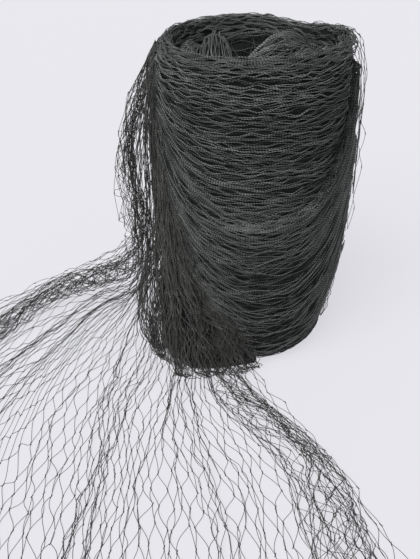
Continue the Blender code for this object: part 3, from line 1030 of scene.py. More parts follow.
@dataclass
class HollowFolds:
    """What is folded into the hollow: a tuft, a twisted hank, tangles and crossing meshes."""

    form: RollForm
    yarn_radius: float = 0.00052
    knot_swell: float = 1.6
    wall_radius: float = 0.1065
    wave: float = 0.0012
    points_a_bar: int = 6
    # Paleness by bundle is partly painted light: the bundles on the hollow's floor and under the tuft are
    # dark as painted shade, and the tuft and the hank high on the folds are pale as painted light.
    bundles: tuple[Bundle, ...] = (
        Bundle("floor_across", (-0.100, 0.010), (0.000, 0.004), (0.100, 0.014), 0.070, 0.070, 30, 0.001,
               0.0034, pale=0.12),
        Bundle("floor_along", (0.004, 0.100), (0.006, 0.000), (0.000, -0.100), 0.080, 0.080, 26, 0.001,
               0.0034, pale=0.14),
        Bundle("tuft", (-0.049, 0.084), (-0.050, 0.010), (-0.052, -0.097), 0.006, 0.040, 30, 0.0190, 0.0012,
               pale=1.0),
        Bundle("tuft_under", (-0.048, 0.074), (-0.050, 0.000), (-0.046, -0.088), 0.014, 0.024, 16, 0.005,
               0.0016, pale=0.20),
        Bundle("hank", (0.082, 0.024), (0.040, -0.014), (-0.018, -0.072), 0.005, 0.020, 46, 0.0190, 0.0009,
               twist=1.1, pale=0.92),
        Bundle("hank_front", (0.078, 0.004), (0.050, -0.044), (0.018, -0.098), 0.005, 0.018, 32, 0.0150,
               0.0010, pale=0.78),
        Bundle("small_fold", (-0.036, -0.030), (-0.010, -0.052), (0.016, -0.034), 0.005, 0.008, 14, 0.010,
               0.0012, pale=0.55),
        Bundle("left_tangle", (-0.094, 0.040), (-0.098, -0.010), (-0.082, -0.074), 0.008, 0.014, 26, 0.008,
               0.0030, pale=0.6),
        Bundle("left_inner", (-0.068, 0.070), (-0.082, 0.014), (-0.086, -0.056), 0.010, 0.010, 20, 0.008,
               0.0026, pale=0.6),
        Bundle("left_cross", (-0.104, -0.034), (-0.084, -0.010), (-0.074, 0.044), 0.010, 0.008, 12, 0.010,
               0.0024, pale=0.65),
        Bundle("right_mesh", (0.100, 0.038), (0.098, -0.020), (0.068, -0.088), 0.010, 0.018, 26, 0.0090,
               0.0026, pale=0.65),
        Bundle("right_cross", (0.064, -0.076), (0.090, -0.038), (0.104, 0.012), 0.012, 0.006, 16, 0.0110,
               0.0024, pale=0.6),
        Bundle("back_run", (-0.090, 0.056), (0.000, 0.114), (0.092, 0.052), 0.009, 0.009, 22, 0.006,
               0.0010, pale=0.4),
        Bundle("back_folds", (-0.066, 0.060), (0.006, 0.084), (0.080, 0.048), 0.012, 0.010, 18, 0.006,
               0.0014, pale=0.30),
        Bundle("front_run", (-0.092, -0.052), (0.000, -0.120), (0.092, -0.054), 0.006, 0.006, 14, 0.006,
               0.0010, pale=0.42),
    )

    def strands(self, bundle: Bundle, seed: int) -> tuple[Array, Array, Array, Array]:
        """The strands of one bundle.

        Each follows the bend (1-t)^2 A + 2 t (1-t) B + t^2 C, moved across by its place in the
        spread, and lies on the folds below it with the lift of its place.

        Args:
            bundle: The run to build.
            seed: Seed of its irregularities.

        Returns:
            Points, normals, radii and tones.
        """
        rng = np.random.default_rng(seed)
        start, middle, end = (np.array(p) for p in (bundle.start, bundle.middle, bundle.end))
        bars = whole_bars(np.linalg.norm(middle - start) + np.linalg.norm(end - middle))
        share = np.linspace(0.0, 1.0, bars * self.points_a_bar + 1)
        t = share[None, :, None]
        line = (1.0 - t) ** 2 * start + 2.0 * t * (1.0 - t) * middle + t ** 2 * end
        along = unit(2.0 * (1.0 - t) * (middle - start) + 2.0 * t * (end - middle))
        across = np.stack([-along[..., 1], along[..., 0]], axis=-1)
        order = np.linspace(-1.0, 1.0, bundle.count)[:, None] + 0.10 * rng.standard_normal((bundle.count, 1))
        angle = np.arccos(np.clip(order, -1.0, 1.0)) * rng.choice([-1.0, 1.0], (bundle.count, 1))
        angle = angle + bundle.twist * np.pi * share[None, :]
        if bundle.twist:
            place, rise = np.cos(angle), 0.5 + 0.5 * np.sin(angle)
        else:
            place = np.broadcast_to(order, (bundle.count, len(share)))
            rise = np.sqrt(np.clip(1.0 - order ** 2, 0.0, 1.0)) * rng.uniform(0.5, 1.0, (bundle.count, 1))
            rise = np.broadcast_to(rise, place.shape)
        spread = bundle.spread_start + (bundle.spread_end - bundle.spread_start) * share[None, :]
        number = np.arange(bundle.count)[:, None] * 1.0
        sway = Ripple(seed + 1, (1, 4), (0.1, 0.4)).at(share[None, :], number)
        wave = self.wave * np.cos(np.pi * share[None, :] * bars) * alternate(number)
        offset = place * spread + bundle.wander * sway + wave
        flat = line + across * offset[..., None]
        reach = np.linalg.norm(flat, axis=-1, keepdims=True)
        flat = flat * np.minimum(1.0, self.wall_radius / np.maximum(reach, 1e-6))
        arch = np.clip(np.sin(np.pi * share), 0.0, 1.0)[None, :] ** 0.35
        height = (self.form.floor(flat[..., 0], flat[..., 1]) + self.yarn_radius
                  + bundle.lift * rise * arch + 0.0008 * np.abs(sway))
        points = np.concatenate([flat, height[..., None]], axis=-1)
        radii = knot_radii(share * bars, self.yarn_radius, self.knot_swell)
        tone = np.clip(bundle.pale + 0.18 * rng.standard_normal(bundle.count), 0.0, 1.0)
        return points, UP, radii[None, :], tone

    def build(self, material: bpy.types.Material) -> None:
        """Make the piece that holds all the bundles."""
        mesh = YarnMesh()
        for number, bundle in enumerate(self.bundles):
            mesh.add(*self.strands(bundle, 100 + 7 * number))
        mesh.build("hollow_folds", material, Slot.ROLL)


@dataclass
class NetBuilder:
    """Makes knots and bars from a grid of points, with a knot at every second point."""

    yarn_radius: float = 0.00040
    knot_radius: float = 0.00086
    knot_half: float = 0.0026
    roundness: float = 0.85
    bar_places: tuple[float, ...] = (0.0, 0.14, 0.30, 0.50, 0.70, 0.86, 1.0)
    bow: float = 0.0012             # most that a bar stands off the net
    aside: float = 0.0017           # usual bend of a bar within the net

    def add(self, mesh: YarnMesh, grid: Array, normals: Array, there: Array, seed: int,
            pale: float) -> int:
        """Add the net of a grid to a yarn mesh.

        A bar from knot A to knot B is A + a t + l s(t): a is the step along the net, l the step
        across it, and s an S-curve, so that a strand runs through its knots in one line.

        Args:
            mesh: Mesh that takes the tubes.
            grid: Points by column and row.
            normals: Directions out of the net at those points.
            there: True where the net has that point.
            seed: Seed of tones and slack.
            pale: Mean paleness.

        Returns:
            The number of knots.
        """
        rng = np.random.default_rng(seed)
        columns, rows = grid.shape[:2]
        column, row = np.meshgrid(np.arange(columns), np.arange(rows), indexing="ij")
        knot = ((column + row) % 2 == 0) & there
        share = np.array(self.bar_places)[None, :, None]
        bend = (1.0 - self.roundness) * share + self.roundness * ease(share)
        for side in (-1, 1):
            c, r = np.nonzero(knot[:, :-1])
            keep = (c + side >= 0) & (c + side < columns)
            c, r = c[keep], r[keep]
            keep = there[c + side, r + 1]
            c, r = c[keep], r[keep]
            start, stop = grid[c, r], grid[c + side, r + 1]
            whole = stop - start
            along = np.where(there[c, r + 1][:, None], grid[c, r + 1] - start, whole)
            path = start[:, None] + along[:, None] * share + (whole - along)[:, None] * bend
            normal = 0.5 * (normals[c, r] + normals[c + side, r + 1])
            arch = np.sin(np.pi * share)
            path = path + normal[:, None] * (rng.uniform(0.0, self.bow, (len(c), 1, 1)) * arch)
            sideways = unit(np.cross(whole, normal))[:, None]
            path = path + sideways * rng.normal(0.0, self.aside, (len(c), 1, 1)) * arch
            tone = np.clip(pale + 0.16 * rng.standard_normal(len(c)), 0.0, 1.0)
            mesh.add(path, normal[:, None], self.yarn_radius, tone)
        c, r = np.nonzero(knot)
        after = np.minimum(r + 1, rows - 1)
        before = np.maximum(r - 1, 0)
        heading = unit(grid[c, after] - grid[c, before])
        sideways = unit(np.cross(heading, normals[c, r]))
        slant = unit(heading + sideways * 0.4 * alternate(r)[:, None])
        places = np.array([-1.0, 0.0, 1.0])[None, :, None] * self.knot_half
        path = grid[c, r][:, None] + slant[:, None] * places
        radii = np.array([[self.yarn_radius * 1.05, self.knot_radius, self.yarn_radius * 1.05]])
        tone = np.clip(pale - 0.25 + 0.1 * rng.standard_normal(len(c)), 0.0, 1.0)
        mesh.add(path, normals[c, r][:, None], radii, tone)
        return len(c)


@dataclass(frozen=True)
class GuideLine:
    """A fold of the loose end, or a run of net between folds, followed outwards.

    Its stations are where it is rooted on the roll, where it leaves it, where it hangs beside it,
    where it comes down near it, three places on the surface and its end, each as azimuth, radius
    and height. A radius of 0 is the roll's own. fold_columns strands are gathered at it, and
    open_columns lie between it and the next one.
    """

    name: str
    stations: Rows
    fold: float
    spread: float
    fold_columns: int
    open_columns: int


@dataclass
class LooseEnd:
    """The loose end: the net drawn down the left side and fanned over the surface."""

    form: RollForm
    net: NetBuilder = field(default_factory=NetBuilder)
    row_pitch: float = 0.0268
    root_lift: float = 0.0024
    lock_size: int = 5              # columns that lie together where the net hangs
    lock_pull: float = 0.62
    fold_turn: float = 11.0         # columns in one turn of a fold
    fold_lay: float = 0.21          # length of one turn of a fold
    fold_open: float = 0.7          # share of the slack that a fold keeps
    knot_shift: float = 0.0014
    knot_slip: float = 0.0018
    pale: float = 0.55
    cuts: tuple[float, float] = (0.36, 0.68)
    station_knots: tuple[float, ...] = (-0.25, 0.0, 0.45, 1.0, 1.25, 1.5, 1.75, 2.0)
    flat_cell: tuple[float, float] = (0.0020, 0.0560)
    guides: tuple[GuideLine, ...] = (
        GuideLine("outer_edge", (
            (184, 0, 0.440), (170, 0, 0.440), (174, 0.184, 0.300), (177, 0.203, 0.142), (168, 0.282, 0.070),
            (170.4, 0.369, 0.035), (175.7, 0.466, 0.004), (180, 0.515, 0),
        ), 0.000, 0.00, 0, 12),
        GuideLine("upper_rope", (
            (188, 0, 0.437), (177, 0, 0.440), (180, 0.174, 0.300), (179, 0.186, 0.112), (171, 0.275, 0.048),
            (172.5, 0.340, 0.020), (185.5, 0.421, 0), (195, 0.484, 0),
        ), 0.025, 0.18, 44, 9),
        GuideLine("thin_rope", (
            (191, 0, 0.434), (183, 0, 0.438), (185, 0.165, 0.295), (183, 0.192, 0.075), (175, 0.262, 0.020),
            (183.4, 0.324, 0.002), (197.4, 0.416, 0), (204.3, 0.486, 0),
        ), 0.005, 0.04, 8, 9),
        GuideLine("band", (
            (193, 0, 0.430), (188, 0, 0.432), (192, 0.148, 0.285), (188, 0.190, 0.070), (182, 0.256, 0.018),
            (194.1, 0.320, 0), (208.9, 0.429, 0), (214.8, 0.492, 0),
        ), 0.008, 0.18, 8, 8),
        GuideLine("open_left", (
            (195, 0, 0.424), (191, 0, 0.426), (196, 0.145, 0.280), (191, 0.188, 0.075), (194, 0.262, 0.010),
            (209, 0.350, 0), (222, 0.447, 0), (231.8, 0.560, 0),
        ), 0.000, 0.00, 0, 8),
        GuideLine("open_middle", (
            (196, 0, 0.416), (194, 0, 0.415), (200, 0.144, 0.255), (194, 0.180, 0.080), (200, 0.240, 0.012),
            (214.5, 0.318, 0), (229, 0.421, 0), (238.3, 0.540, 0),
        ), 0.000, 0.00, 0, 6),
        GuideLine("fold_left", (
            (198, 0, 0.380), (199, 0, 0.350), (201, 0.149, 0.200), (200, 0.182, 0.070), (206, 0.222, 0.008),
            (220.8, 0.298, 0), (232.5, 0.380, 0), (242.1, 0.530, 0),
        ), 0.008, 0.14, 7, 3),
        GuideLine("fold_right", (
            (206, 0, 0.150), (208, 0.150, 0.125), (210, 0.166, 0.085), (211, 0.188, 0.040),
            (215.5, 0.214, 0.004), (224.1, 0.282, 0), (234.1, 0.353, 0), (245.4, 0.530, 0),
        ), 0.008, 0.12, 7, 12),
        GuideLine("middle_open", (
            (222, 0, 0.100), (224, 0.150, 0.080), (225, 0.172, 0.050), (226, 0.190, 0.018),
            (230, 0.216, 0.003), (239.4, 0.296, 0), (246.4, 0.382, 0), (252.5, 0.505, 0),
        ), 0.000, 0.00, 0, 11),
        GuideLine("front_bunch", (
            (232, 0, 0.080), (234, 0.150, 0.062), (235, 0.170, 0.036), (235, 0.190, 0.012),
            (239, 0.222, 0.002), (249.4, 0.285, 0), (257.8, 0.361, 0), (263.1, 0.490, 0),
        ), 0.007, 0.10, 8, 12),
        GuideLine("right_bundle", (
            (246, 0, 0.070), (248, 0.148, 0.050), (249, 0.158, 0.030), (251, 0.170, 0.012),
            (258, 0.196, 0.003), (270.9, 0.250, 0), (279.2, 0.339, 0), (278.5, 0.490, 0),
        ), 0.021, 0.34, 46, 6),
        GuideLine("right_edge", (
            (262, 0, 0.060), (264, 0.146, 0.040), (266, 0.150, 0.022), (268, 0.155, 0.008),
            (276.5, 0.205, 0), (281.1, 0.286, 0), (285.6, 0.386, 0), (287, 0.505, 0),
        ), 0.000, 0.00, 0, 0),
    )

    def columns(self) -> tuple[Array, Array, Array]:
        """Places across the net in guides, the fold of each column (or -1) and its share in it."""
        runs = [([0.0], -1, [0.0])]
        for index, guide in enumerate(self.guides):
            if guide.fold_columns:
                share = np.linspace(-1.0, 1.0, guide.fold_columns)
                runs.append((index + guide.spread * share, index, share))
            if guide.open_columns:
                low = index + guide.spread
                high = index + 1 - self.guides[index + 1].spread
                step = (np.arange(guide.open_columns) + 1.0) / (guide.open_columns + 1.0)
                runs.append((low + (high - low) * step, -1, 0.0 * step))
        runs.append(([len(self.guides) - 1.0], -1, [0.0]))
        places, folds, shares = zip(*runs)
        folds = [np.full(len(place), fold) for place, fold in zip(places, folds)]
        return np.concatenate(places), np.concatenate(folds), np.concatenate(shares)

    def paths(self, across: Array) -> tuple[Array, Array, Array]:
        """Points down each column, evenly spaced from its outer end.

        Args:
            across: Places across the net, in guides.

        Returns:
            Points by column and row, the station (0 leave, 1 near, 2 end) at each of them, and
            True where the column is long enough to have that row.
        """
        table = np.array([guide.stations for guide in self.guides], dtype=float)
        at = smooth_through(np.arange(len(self.guides)), table, across)
        azimuth, radius, height = at[..., 0], at[..., 1], np.maximum(at[..., 2], 0.0)
        on_roll = self.form.radius(azimuth, height) + self.root_lift
        radius = np.maximum(radius, on_roll * np.clip(1.2 - radius / 0.14, 0.0, 1.0))
        radius = np.where(np.arange(table.shape[1])[None, :] < 1, on_roll, radius)
        stations = on_ring(azimuth, radius, height + self.net.yarn_radius).transpose(1, 0, 2)
        fine = np.concatenate([np.linspace(-0.25, 1.0, 61), np.linspace(1.0, 2.0, 81)[1:]])
        line = smooth_through(np.array(self.station_knots), stations, fine)
        line = self.form.keep_outside(line, self.root_lift).transpose(1, 0, 2)
        step = np.linalg.norm(np.diff(line, axis=1), axis=-1)
        back = np.concatenate([np.zeros((len(across), 1)), np.cumsum(step[:, ::-1], axis=1)], axis=1)
        line, fine = line[:, ::-1], fine[::-1]
        rows = int(back[:, -1].max() / self.row_pitch) + 1
        wanted = np.arange(rows) * self.row_pitch
        cell = np.clip((back[:, None, :] <= wanted[None, :, None]).sum(axis=2) - 1, 0, back.shape[1] - 2)
        low = np.take_along_axis(back, cell, axis=1)
        high = np.take_along_axis(back, cell + 1, axis=1)
        share = np.clip((wanted[None, :] - low) / np.maximum(high - low, 1e-9), 0.0, 1.0)
        station = fine[cell] + (fine[cell + 1] - fine[cell]) * share
        first = np.take_along_axis(line, cell[..., None], axis=1)
        second = np.take_along_axis(line, cell[..., None] + 1, axis=1)
        points = first + (second - first) * share[..., None]
        return points, station, wanted[None, :] <= back[:, -1:]

    def grid(self) -> tuple[Array, Array, Array]:
        """The net's points, its normals and which points there are."""
        across, fold, share = self.columns()
        number = np.arange(len(across))
        lock = number // self.lock_size
        centre = np.array([across[lock == one].mean() for one in range(lock.max() + 1)])[lock]
        free, station, there = self.paths(across)
        locked, _, _ = self.paths(across + self.lock_pull * (centre - across))
        rows = station.shape[1]
        row = np.arange(rows)[None, :]
        turns = row / rows
        pull = (1.0 - ease((station - 0.40) / 0.50))[..., None]
        points = free + (locked - free) * pull
        along = np.gradient(points, axis=1)
        lateral = unit(np.gradient(free, axis=0))
        normal = unit(np.cross(unit(along), lateral))
        upright = np.clip((1.15 - station) / 0.3, 0.0, 1.0)[..., None]
        facing = outward(points) * upright + UP * (1.0 - upright)
        normal = normal * np.where((normal * facing).sum(axis=-1, keepdims=True) < 0.0, -1.0, 1.0)
        # Ropes: the gathered columns lie in folds that twist as they run outwards.
        rng = np.random.default_rng(7)
        metres = row * self.row_pitch
        for index, guide in enumerate(self.guides):
            inside = fold == index
            if not inside.any():
                continue
            own = share[inside][:, None]
            window = np.sqrt(np.clip(1.0 - own ** 2, 0.0, 1.0))
            phase = own * guide.fold_columns / self.fold_turn + metres / self.fold_lay + rng.uniform()
            uneven = Ripple(200 + index, (2, 5), (0.05, 0.2)).at(turns, number[inside][:, None])
            angle = 2.0 * np.pi * phase + 0.9 * uneven
            grow = np.clip(station[inside] / 0.5, 0.15, 1.0)
            aside = guide.fold * 0.85 * window * grow * np.sin(angle)
            rise = guide.fold * 0.95 * window * grow * (0.5 + 0.5 * np.cos(angle))
            points[inside] += lateral[inside] * aside[..., None]
            points[inside] += normal[inside] * rise[..., None]
        # Slack: pinched and open meshes, and a wave at each knot.
        loose = np.clip((station - 0.9) / 0.4, 0.0, 1.0)
        pinch = Ripple(61, (3, 9), (0.10, 0.30)).at(turns, number[:, None])
        drift = Ripple(62, (1, 4), (0.02, 0.08)).at(turns, number[:, None])
        open_net = np.where(fold < 0, 1.0, self.fold_open)[:, None]
        shift = (0.0026 * pinch + 0.0030 * drift) * loose * open_net
        shift = shift + rng.normal(0.0, self.knot_shift, shift.shape) * (0.5 + 0.5 * open_net)
        points = points + lateral * shift[..., None]
        slip = 0.0035 * Ripple(64, (2, 6), (0.04, 0.16)).at(turns, number[:, None]) * loose
        slip = slip + rng.normal(0.0, self.knot_slip, station.shape)
        points = points + unit(along) * slip[..., None]
        depth = 0.006 * Ripple(63, (1, 3), (0.2, 0.5)).at(turns, lock[:, None] * 1.0)
        hanging = np.clip(station / 0.2, 0.0, 1.0) * np.clip((1.1 - station) / 0.3, 0.0, 1.0)
        points = points + outward(points) * (depth * hanging)[..., None]
        points = self.form.keep_outside(points, self.root_lift)
        lying = np.abs(rng.normal(0.0, 0.0005, station.shape)) + self.net.yarn_radius
        points[..., 2] = np.maximum(points[..., 2], lying)
        return points, normal, there

    def build(self, material: bpy.types.Material) -> None:
        """Make the net in side-by-side pieces and log the knots, flat size and area of each."""
        points, normals, there = self.grid()
        count = len(points)
        cuts = (0, *(int(count * share) for share in self.cuts), count - 1)
        for number, (low, high) in enumerate(zip(cuts[:-1], cuts[1:])):
            part = slice(low, high + 1)
            grid, normal, shown = points[part], normals[part], there[part]
            if low % 2:
                # A hidden column goes before an odd first one, so that the knots stay in place.
                grid, normal, shown = (np.concatenate([a[:1], a]) for a in (grid, normal, shown))
                shown[0] = False
            mesh = YarnMesh()
            knots = self.net.add(mesh, grid, normal, shown, 300 + number, self.pale)
            piece = mesh.build("loose_net_%d" % (number + 1), material, Slot.NET)
            rows = int(shown.sum(axis=1).max())
            size = (round((high - low) * self.flat_cell[0] * 0.5, 3), round(rows * self.row_pitch, 3))
            area = knots * self.flat_cell[0] * self.flat_cell[1] * 0.5
            area = min(area, size[0] * size[1])
            LOG.info("%s: %d knots, flat %s m, area %.4f", piece.name, knots, size, area)


@dataclass(frozen=True)
class Tress:
    """A gathered run of strands beside the roll or bunched at its base.

    Each station is azimuth, radius, height, half width and depth; a radius of 0 is the roll's own.
    """

    name: str
    count: int
    wave: float
    wander: float
    pale: float
    stations: Rows
    twist: float = 0.0


@dataclass
class BaseTresses:
    """The gathered net between the veil and the roll, and the folds bunched at the roll's left foot."""

    form: RollForm
    yarn_radius: float = 0.00050
    knot_swell: float = 1.7
    gap: float = 0.0020
    strand_width: float = 0.0012
    points_a_bar: int = 6
    tresses: tuple[Tress, ...] = (
        Tress("left_bunch", 20, 0.0018, 0.0038, 0.34, (
            (194, 0, 0.430, 0.012, 0.002), (192, 0.143, 0.330, 0.012, 0.004),
            (193, 0.145, 0.220, 0.013, 0.005), (197, 0.150, 0.130, 0.016, 0.006),
            (205, 0.165, 0.070, 0.022, 0.008), (212, 0.172, 0.030, 0.022, 0.008),
            (214, 0.170, 0.000, 0.022, 0.005)), 0.6),
        Tress("left_back", 12, 0.0026, 0.0034, 0.40, (
            (186, 0, 0.425, 0.010, 0.002), (184, 0.150, 0.330, 0.010, 0.004),
            (183, 0.155, 0.220, 0.010, 0.005), (187, 0.163, 0.130, 0.013, 0.006),
            (196, 0.178, 0.065, 0.018, 0.008), (203, 0.182, 0.025, 0.018, 0.006),
            (206, 0.177, 0.000, 0.018, 0.004)), 0.4),
        Tress("clump_left", 58, 0.0018, 0.0048, 0.56, (
            (200, 0, 0.310, 0.014, 0.002), (208, 0.148, 0.200, 0.022, 0.005),
            (214, 0.160, 0.110, 0.020, 0.008), (219, 0.177, 0.055, 0.024, 0.010),
            (221, 0.183, 0.022, 0.024, 0.007), (222, 0.178, 0.000, 0.023, 0.006)), 0.5),
        Tress("clump_middle", 60, 0.0018, 0.0048, 0.58, (
            (208, 0, 0.250, 0.020, 0.002), (221, 0.149, 0.150, 0.025, 0.005),
            (230, 0.163, 0.080, 0.024, 0.009), (236, 0.180, 0.035, 0.026, 0.009),
            (237, 0.184, 0.018, 0.028, 0.007), (239, 0.179, 0.000, 0.028, 0.006)), 0.5),
        Tress("clump_right", 44, 0.0018, 0.0046, 0.58, (
            (222, 0, 0.170, 0.014, 0.002), (240, 0.144, 0.095, 0.018, 0.005),
            (248, 0.152, 0.050, 0.022, 0.008), (253, 0.158, 0.018, 0.022, 0.008),
            (255, 0.154, 0.000, 0.023, 0.005)), 0.4),
        Tress("clump_far", 24, 0.0016, 0.0036, 0.50, (
            (238, 0, 0.110, 0.012, 0.002), (255, 0.142, 0.060, 0.012, 0.003),
            (262, 0.144, 0.028, 0.013, 0.004), (265, 0.140, 0.000, 0.011, 0.003)), 0.3),
        Tress("loops", 14, 0.0036, 0.0044, 0.45, (
            (195, 0.150, 0.165, 0.008, 0.004), (199, 0.172, 0.120, 0.010, 0.006),
            (202, 0.184, 0.085, 0.012, 0.008), (205, 0.187, 0.055, 0.012, 0.008),
            (209, 0.185, 0.025, 0.012, 0.006), (213, 0.176, 0.006, 0.010, 0.004))),
        Tress("diagonals", 26, 0.0030, 0.0080, 0.80, (
            (193, 0, 0.340, 0.026, 0.002), (205, 0, 0.240, 0.028, 0.002),
            (222, 0, 0.150, 0.030, 0.002), (243, 0, 0.085, 0.032, 0.002),
            (262, 0, 0.050, 0.026, 0.002))),
    )

    def strands(self, tress: Tress, seed: int) -> tuple[Array, Array, Array, Array, float]:
        """The strands of one tress.

        Strand i lies at centre + w (p_i w_i + wander + wave) + n d q_i, where w runs across the
        tress, n away from the roll, p_i and q_i are its place across and in depth, and the wave
        turns over at each knot and from each strand to the next.

        Args:
            tress: The run to build.
            seed: Seed of its irregularities.

        Returns:
            Points, normals, radii, tones and the length of its middle line.
        """
        rng = np.random.default_rng(seed)
        table = np.array(tress.stations, dtype=float)
        own = self.form.radius(table[:, 0], table[:, 2]) + self.gap
        table[:, 1] = np.where(table[:, 1] == 0.0, own, table[:, 1])
        knots = np.arange(len(table))
        fine = np.linspace(0.0, len(table) - 1.0, 400)
        rough = smooth_through(knots, table, fine)
        line = on_ring(rough[:, 0], rough[:, 1], rough[:, 2])
        run = np.concatenate([[0.0], np.cumsum(np.linalg.norm(np.diff(line, axis=0), axis=1))])
        length = float(run[-1])
        bars = whole_bars(length)
        share = np.linspace(0.0, 1.0, bars * self.points_a_bar + 1)
        rows = smooth_through(knots, table, np.interp(share * length, run, fine))
        centre = on_ring(rows[:, 0], rows[:, 1], rows[:, 2])
        tangent = unit(np.gradient(centre, axis=0))
        lean = unit(outward(centre) + np.array([0.0, 0.0, 0.6]))
        across = unit(np.cross(tangent, lean))
        away = np.cross(across, tangent)
        away = away * np.where((away * lean).sum(axis=1, keepdims=True) < 0.0, -1.0, 1.0)
        number = np.arange(tress.count)[:, None] * 1.0
        order = np.linspace(-1.0, 1.0, tress.count)[:, None]
        angle = np.arccos(order) * rng.choice([-1.0, 1.0], (tress.count, 1))
        sweep = share[None, :] + 0.2 * np.sin(4.0 * np.pi * share[None, :])
        angle = angle + tress.twist * np.pi * sweep
        place, deep = np.cos(angle), 0.5 + 0.5 * np.sin(angle)
        if not tress.twist:
            place = order + np.zeros_like(angle)
            deep = rng.uniform(0.0, 1.0, (tress.count, 1)) + np.zeros_like(angle)
        sway = Ripple(seed + 1, (1, 5), (0.08, 0.30)).at(share[None, :], number)
        dip = Ripple(seed + 2, (1, 5), (0.10, 0.40)).at(share[None, :], number)
        wave = tress.wave * np.cos(np.pi * share[None, :] * bars) * alternate(number)
        offset = place * rows[None, :, 3] + tress.wander * sway + wave
        depth = deep * rows[None, :, 4] + 0.25 * tress.wander * dip
        points = centre[None] + across[None] * offset[..., None] + away[None] * depth[..., None]
        points[..., 2] = np.maximum(points[..., 2], self.yarn_radius + 0.001 * deep)
        points = self.form.keep_outside(points, self.gap * (0.6 + 0.8 * deep))
        radii = knot_radii(share * bars, self.yarn_radius, self.knot_swell)
        # Painted shade: strands that lie nearer the roll are darker, and those farther out paler.
        tone = tress.pale + 0.17 * rng.standard_normal((tress.count, 1)) + 0.25 * (deep - 0.5)
        return points, outward(points), radii[None, :], np.clip(tone, 0.0, 1.0), length

    def build(self, material: bpy.types.Material) -> None:
        for number, tress in enumerate(self.tresses):
            *tubes, length = self.strands(tress, 500 + 11 * number)
            mesh = YarnMesh()
            mesh.add(*tubes)
            piece = mesh.build("tress_" + tress.name, material, Slot.NET)


@dataclass(frozen=True)
class SmallRun:
    """A small run of net: its columns, its rows, the sway of its knots and how pale it is.

    Each row of its edges holds azimuth, radius and height of the near edge, then of the far one.
    """

    name: str
    columns: int
    rows: int
    sway: float
    edges: Rows
    pale: float


@dataclass
class SideSwag:
    """The slack run beside the right shoulder, with its selvedge and a slack fold at the base."""

    form: RollForm
    net: NetBuilder = field(default_factory=NetBuilder)
    flat_column: float = 0.0010
    gap: float = 0.0016
    usual_radius: float = 0.14
    least_width: float = 0.010
    least_area: float = 0.31        # of the flat size
    runs: tuple[SmallRun, ...] = (
        SmallRun("shoulder", 8, 15, 0.0006, (
            (50, 0.1190, 0.4390, 42, 0.1110, 0.4430), (34, 0.1225, 0.4425, 25, 0.1125, 0.4450),
            (19, 0.1310, 0.4465, 11, 0.1140, 0.4480), (9, 0.1395, 0.4415, 3, 0.1200, 0.4430),
            (4, 0.1435, 0.4260, 358, 0.1250, 0.4310), (2, 0.1485, 0.4050, 355, 0.1310, 0.4130),
            (0, 0.1490, 0.3700, 352, 0.1365, 0.3860), (357, 0.1460, 0.3300, 350, 0.1400, 0.3480),
            (351, 0.1430, 0.2850, 345, 0.1420, 0.3040), (343, 0.1430, 0.2420, 336, 0.1440, 0.2640),
        ), 0.5),
        SmallRun("selvedge", 3, 8, 0.0012, (
            (344, 0.1400, 0.362, 352, 0.1430, 0.352), (343, 0.1390, 0.335, 352, 0.1490, 0.330),
            (343, 0.1385, 0.300, 352, 0.1530, 0.305), (343, 0.1385, 0.255, 352, 0.1520, 0.262),
            (343, 0.1390, 0.205, 352, 0.1490, 0.215), (344, 0.1395, 0.175, 351, 0.1430, 0.180),
        ), 0.35),
        SmallRun("base_fold", 6, 11, 0.0011, (
            (340, 0.1375, 0.155, 348, 0.1382, 0.152), (340, 0.1310, 0.124, 347, 0.1345, 0.120),
            (340, 0.1255, 0.096, 346, 0.1312, 0.094), (340, 0.1215, 0.068, 345, 0.1280, 0.068),
            (341, 0.1180, 0.042, 344, 0.1245, 0.044), (342, 0.1150, 0.016, 343, 0.1195, 0.022),
        ), 0.45),
    )

    def grid(self, run: SmallRun, seed: int) -> tuple[Array, Array]:
        """Points and normals of one small run: its two edges joined by even steps.

        Args:
            run: The run to build.
            seed: Seed of the sway of its knots.

        Returns:
            Points and normals, by column and row.
        """
        table = np.array(run.edges, dtype=float)
        table[:, ::3] = turn(table[:, ::3])
        places = np.linspace(0.0, len(table) - 1.0, run.rows)
        near, far = np.split(smooth_through(np.arange(len(table)), table, places)[None], 2, axis=-1)
        share = np.linspace(0.0, 1.0, run.columns)[:, None, None]
        azimuth, radius, height = np.moveaxis(near + (far - near) * share, -1, 0)
        rng = np.random.default_rng(seed)
        radius = radius + 0.5 * run.sway * rng.standard_normal(radius.shape)
        height = height + run.sway * rng.standard_normal(radius.shape)
        aside = np.degrees(run.sway / self.usual_radius)
        azimuth = azimuth + aside * rng.standard_normal(radius.shape)
        least = self.form.radius(azimuth, height) + self.gap
        points = on_ring(azimuth, np.maximum(radius, least), height)
        return points, outward(points)

    def build(self, material: bpy.types.Material) -> None:
        """Make the runs and log the knots and flat size of each."""
        for number, run in enumerate(self.runs):
            points, normals = self.grid(run, 400 + number)
            mesh = YarnMesh()
            there = np.ones(points.shape[:2], dtype=bool)
            knots = self.net.add(mesh, points, normals, there, 410 + number, run.pale)
            piece = mesh.build("slack_" + run.name, material, Slot.SWAG)
            bar = float(np.linalg.norm(np.diff(points, axis=1), axis=-1).mean())
            width = max(self.least_width, run.columns * self.flat_column)
            size = (round(width, 4), round((run.rows - 1) * bar, 3))
            area = knots * self.flat_column * 2.0 * bar
            area = float(np.clip(area, self.least_area * size[0] * size[1], size[0] * size[1]))
            LOG.info("%s: %d knots, flat %s m", piece.name, knots, size)


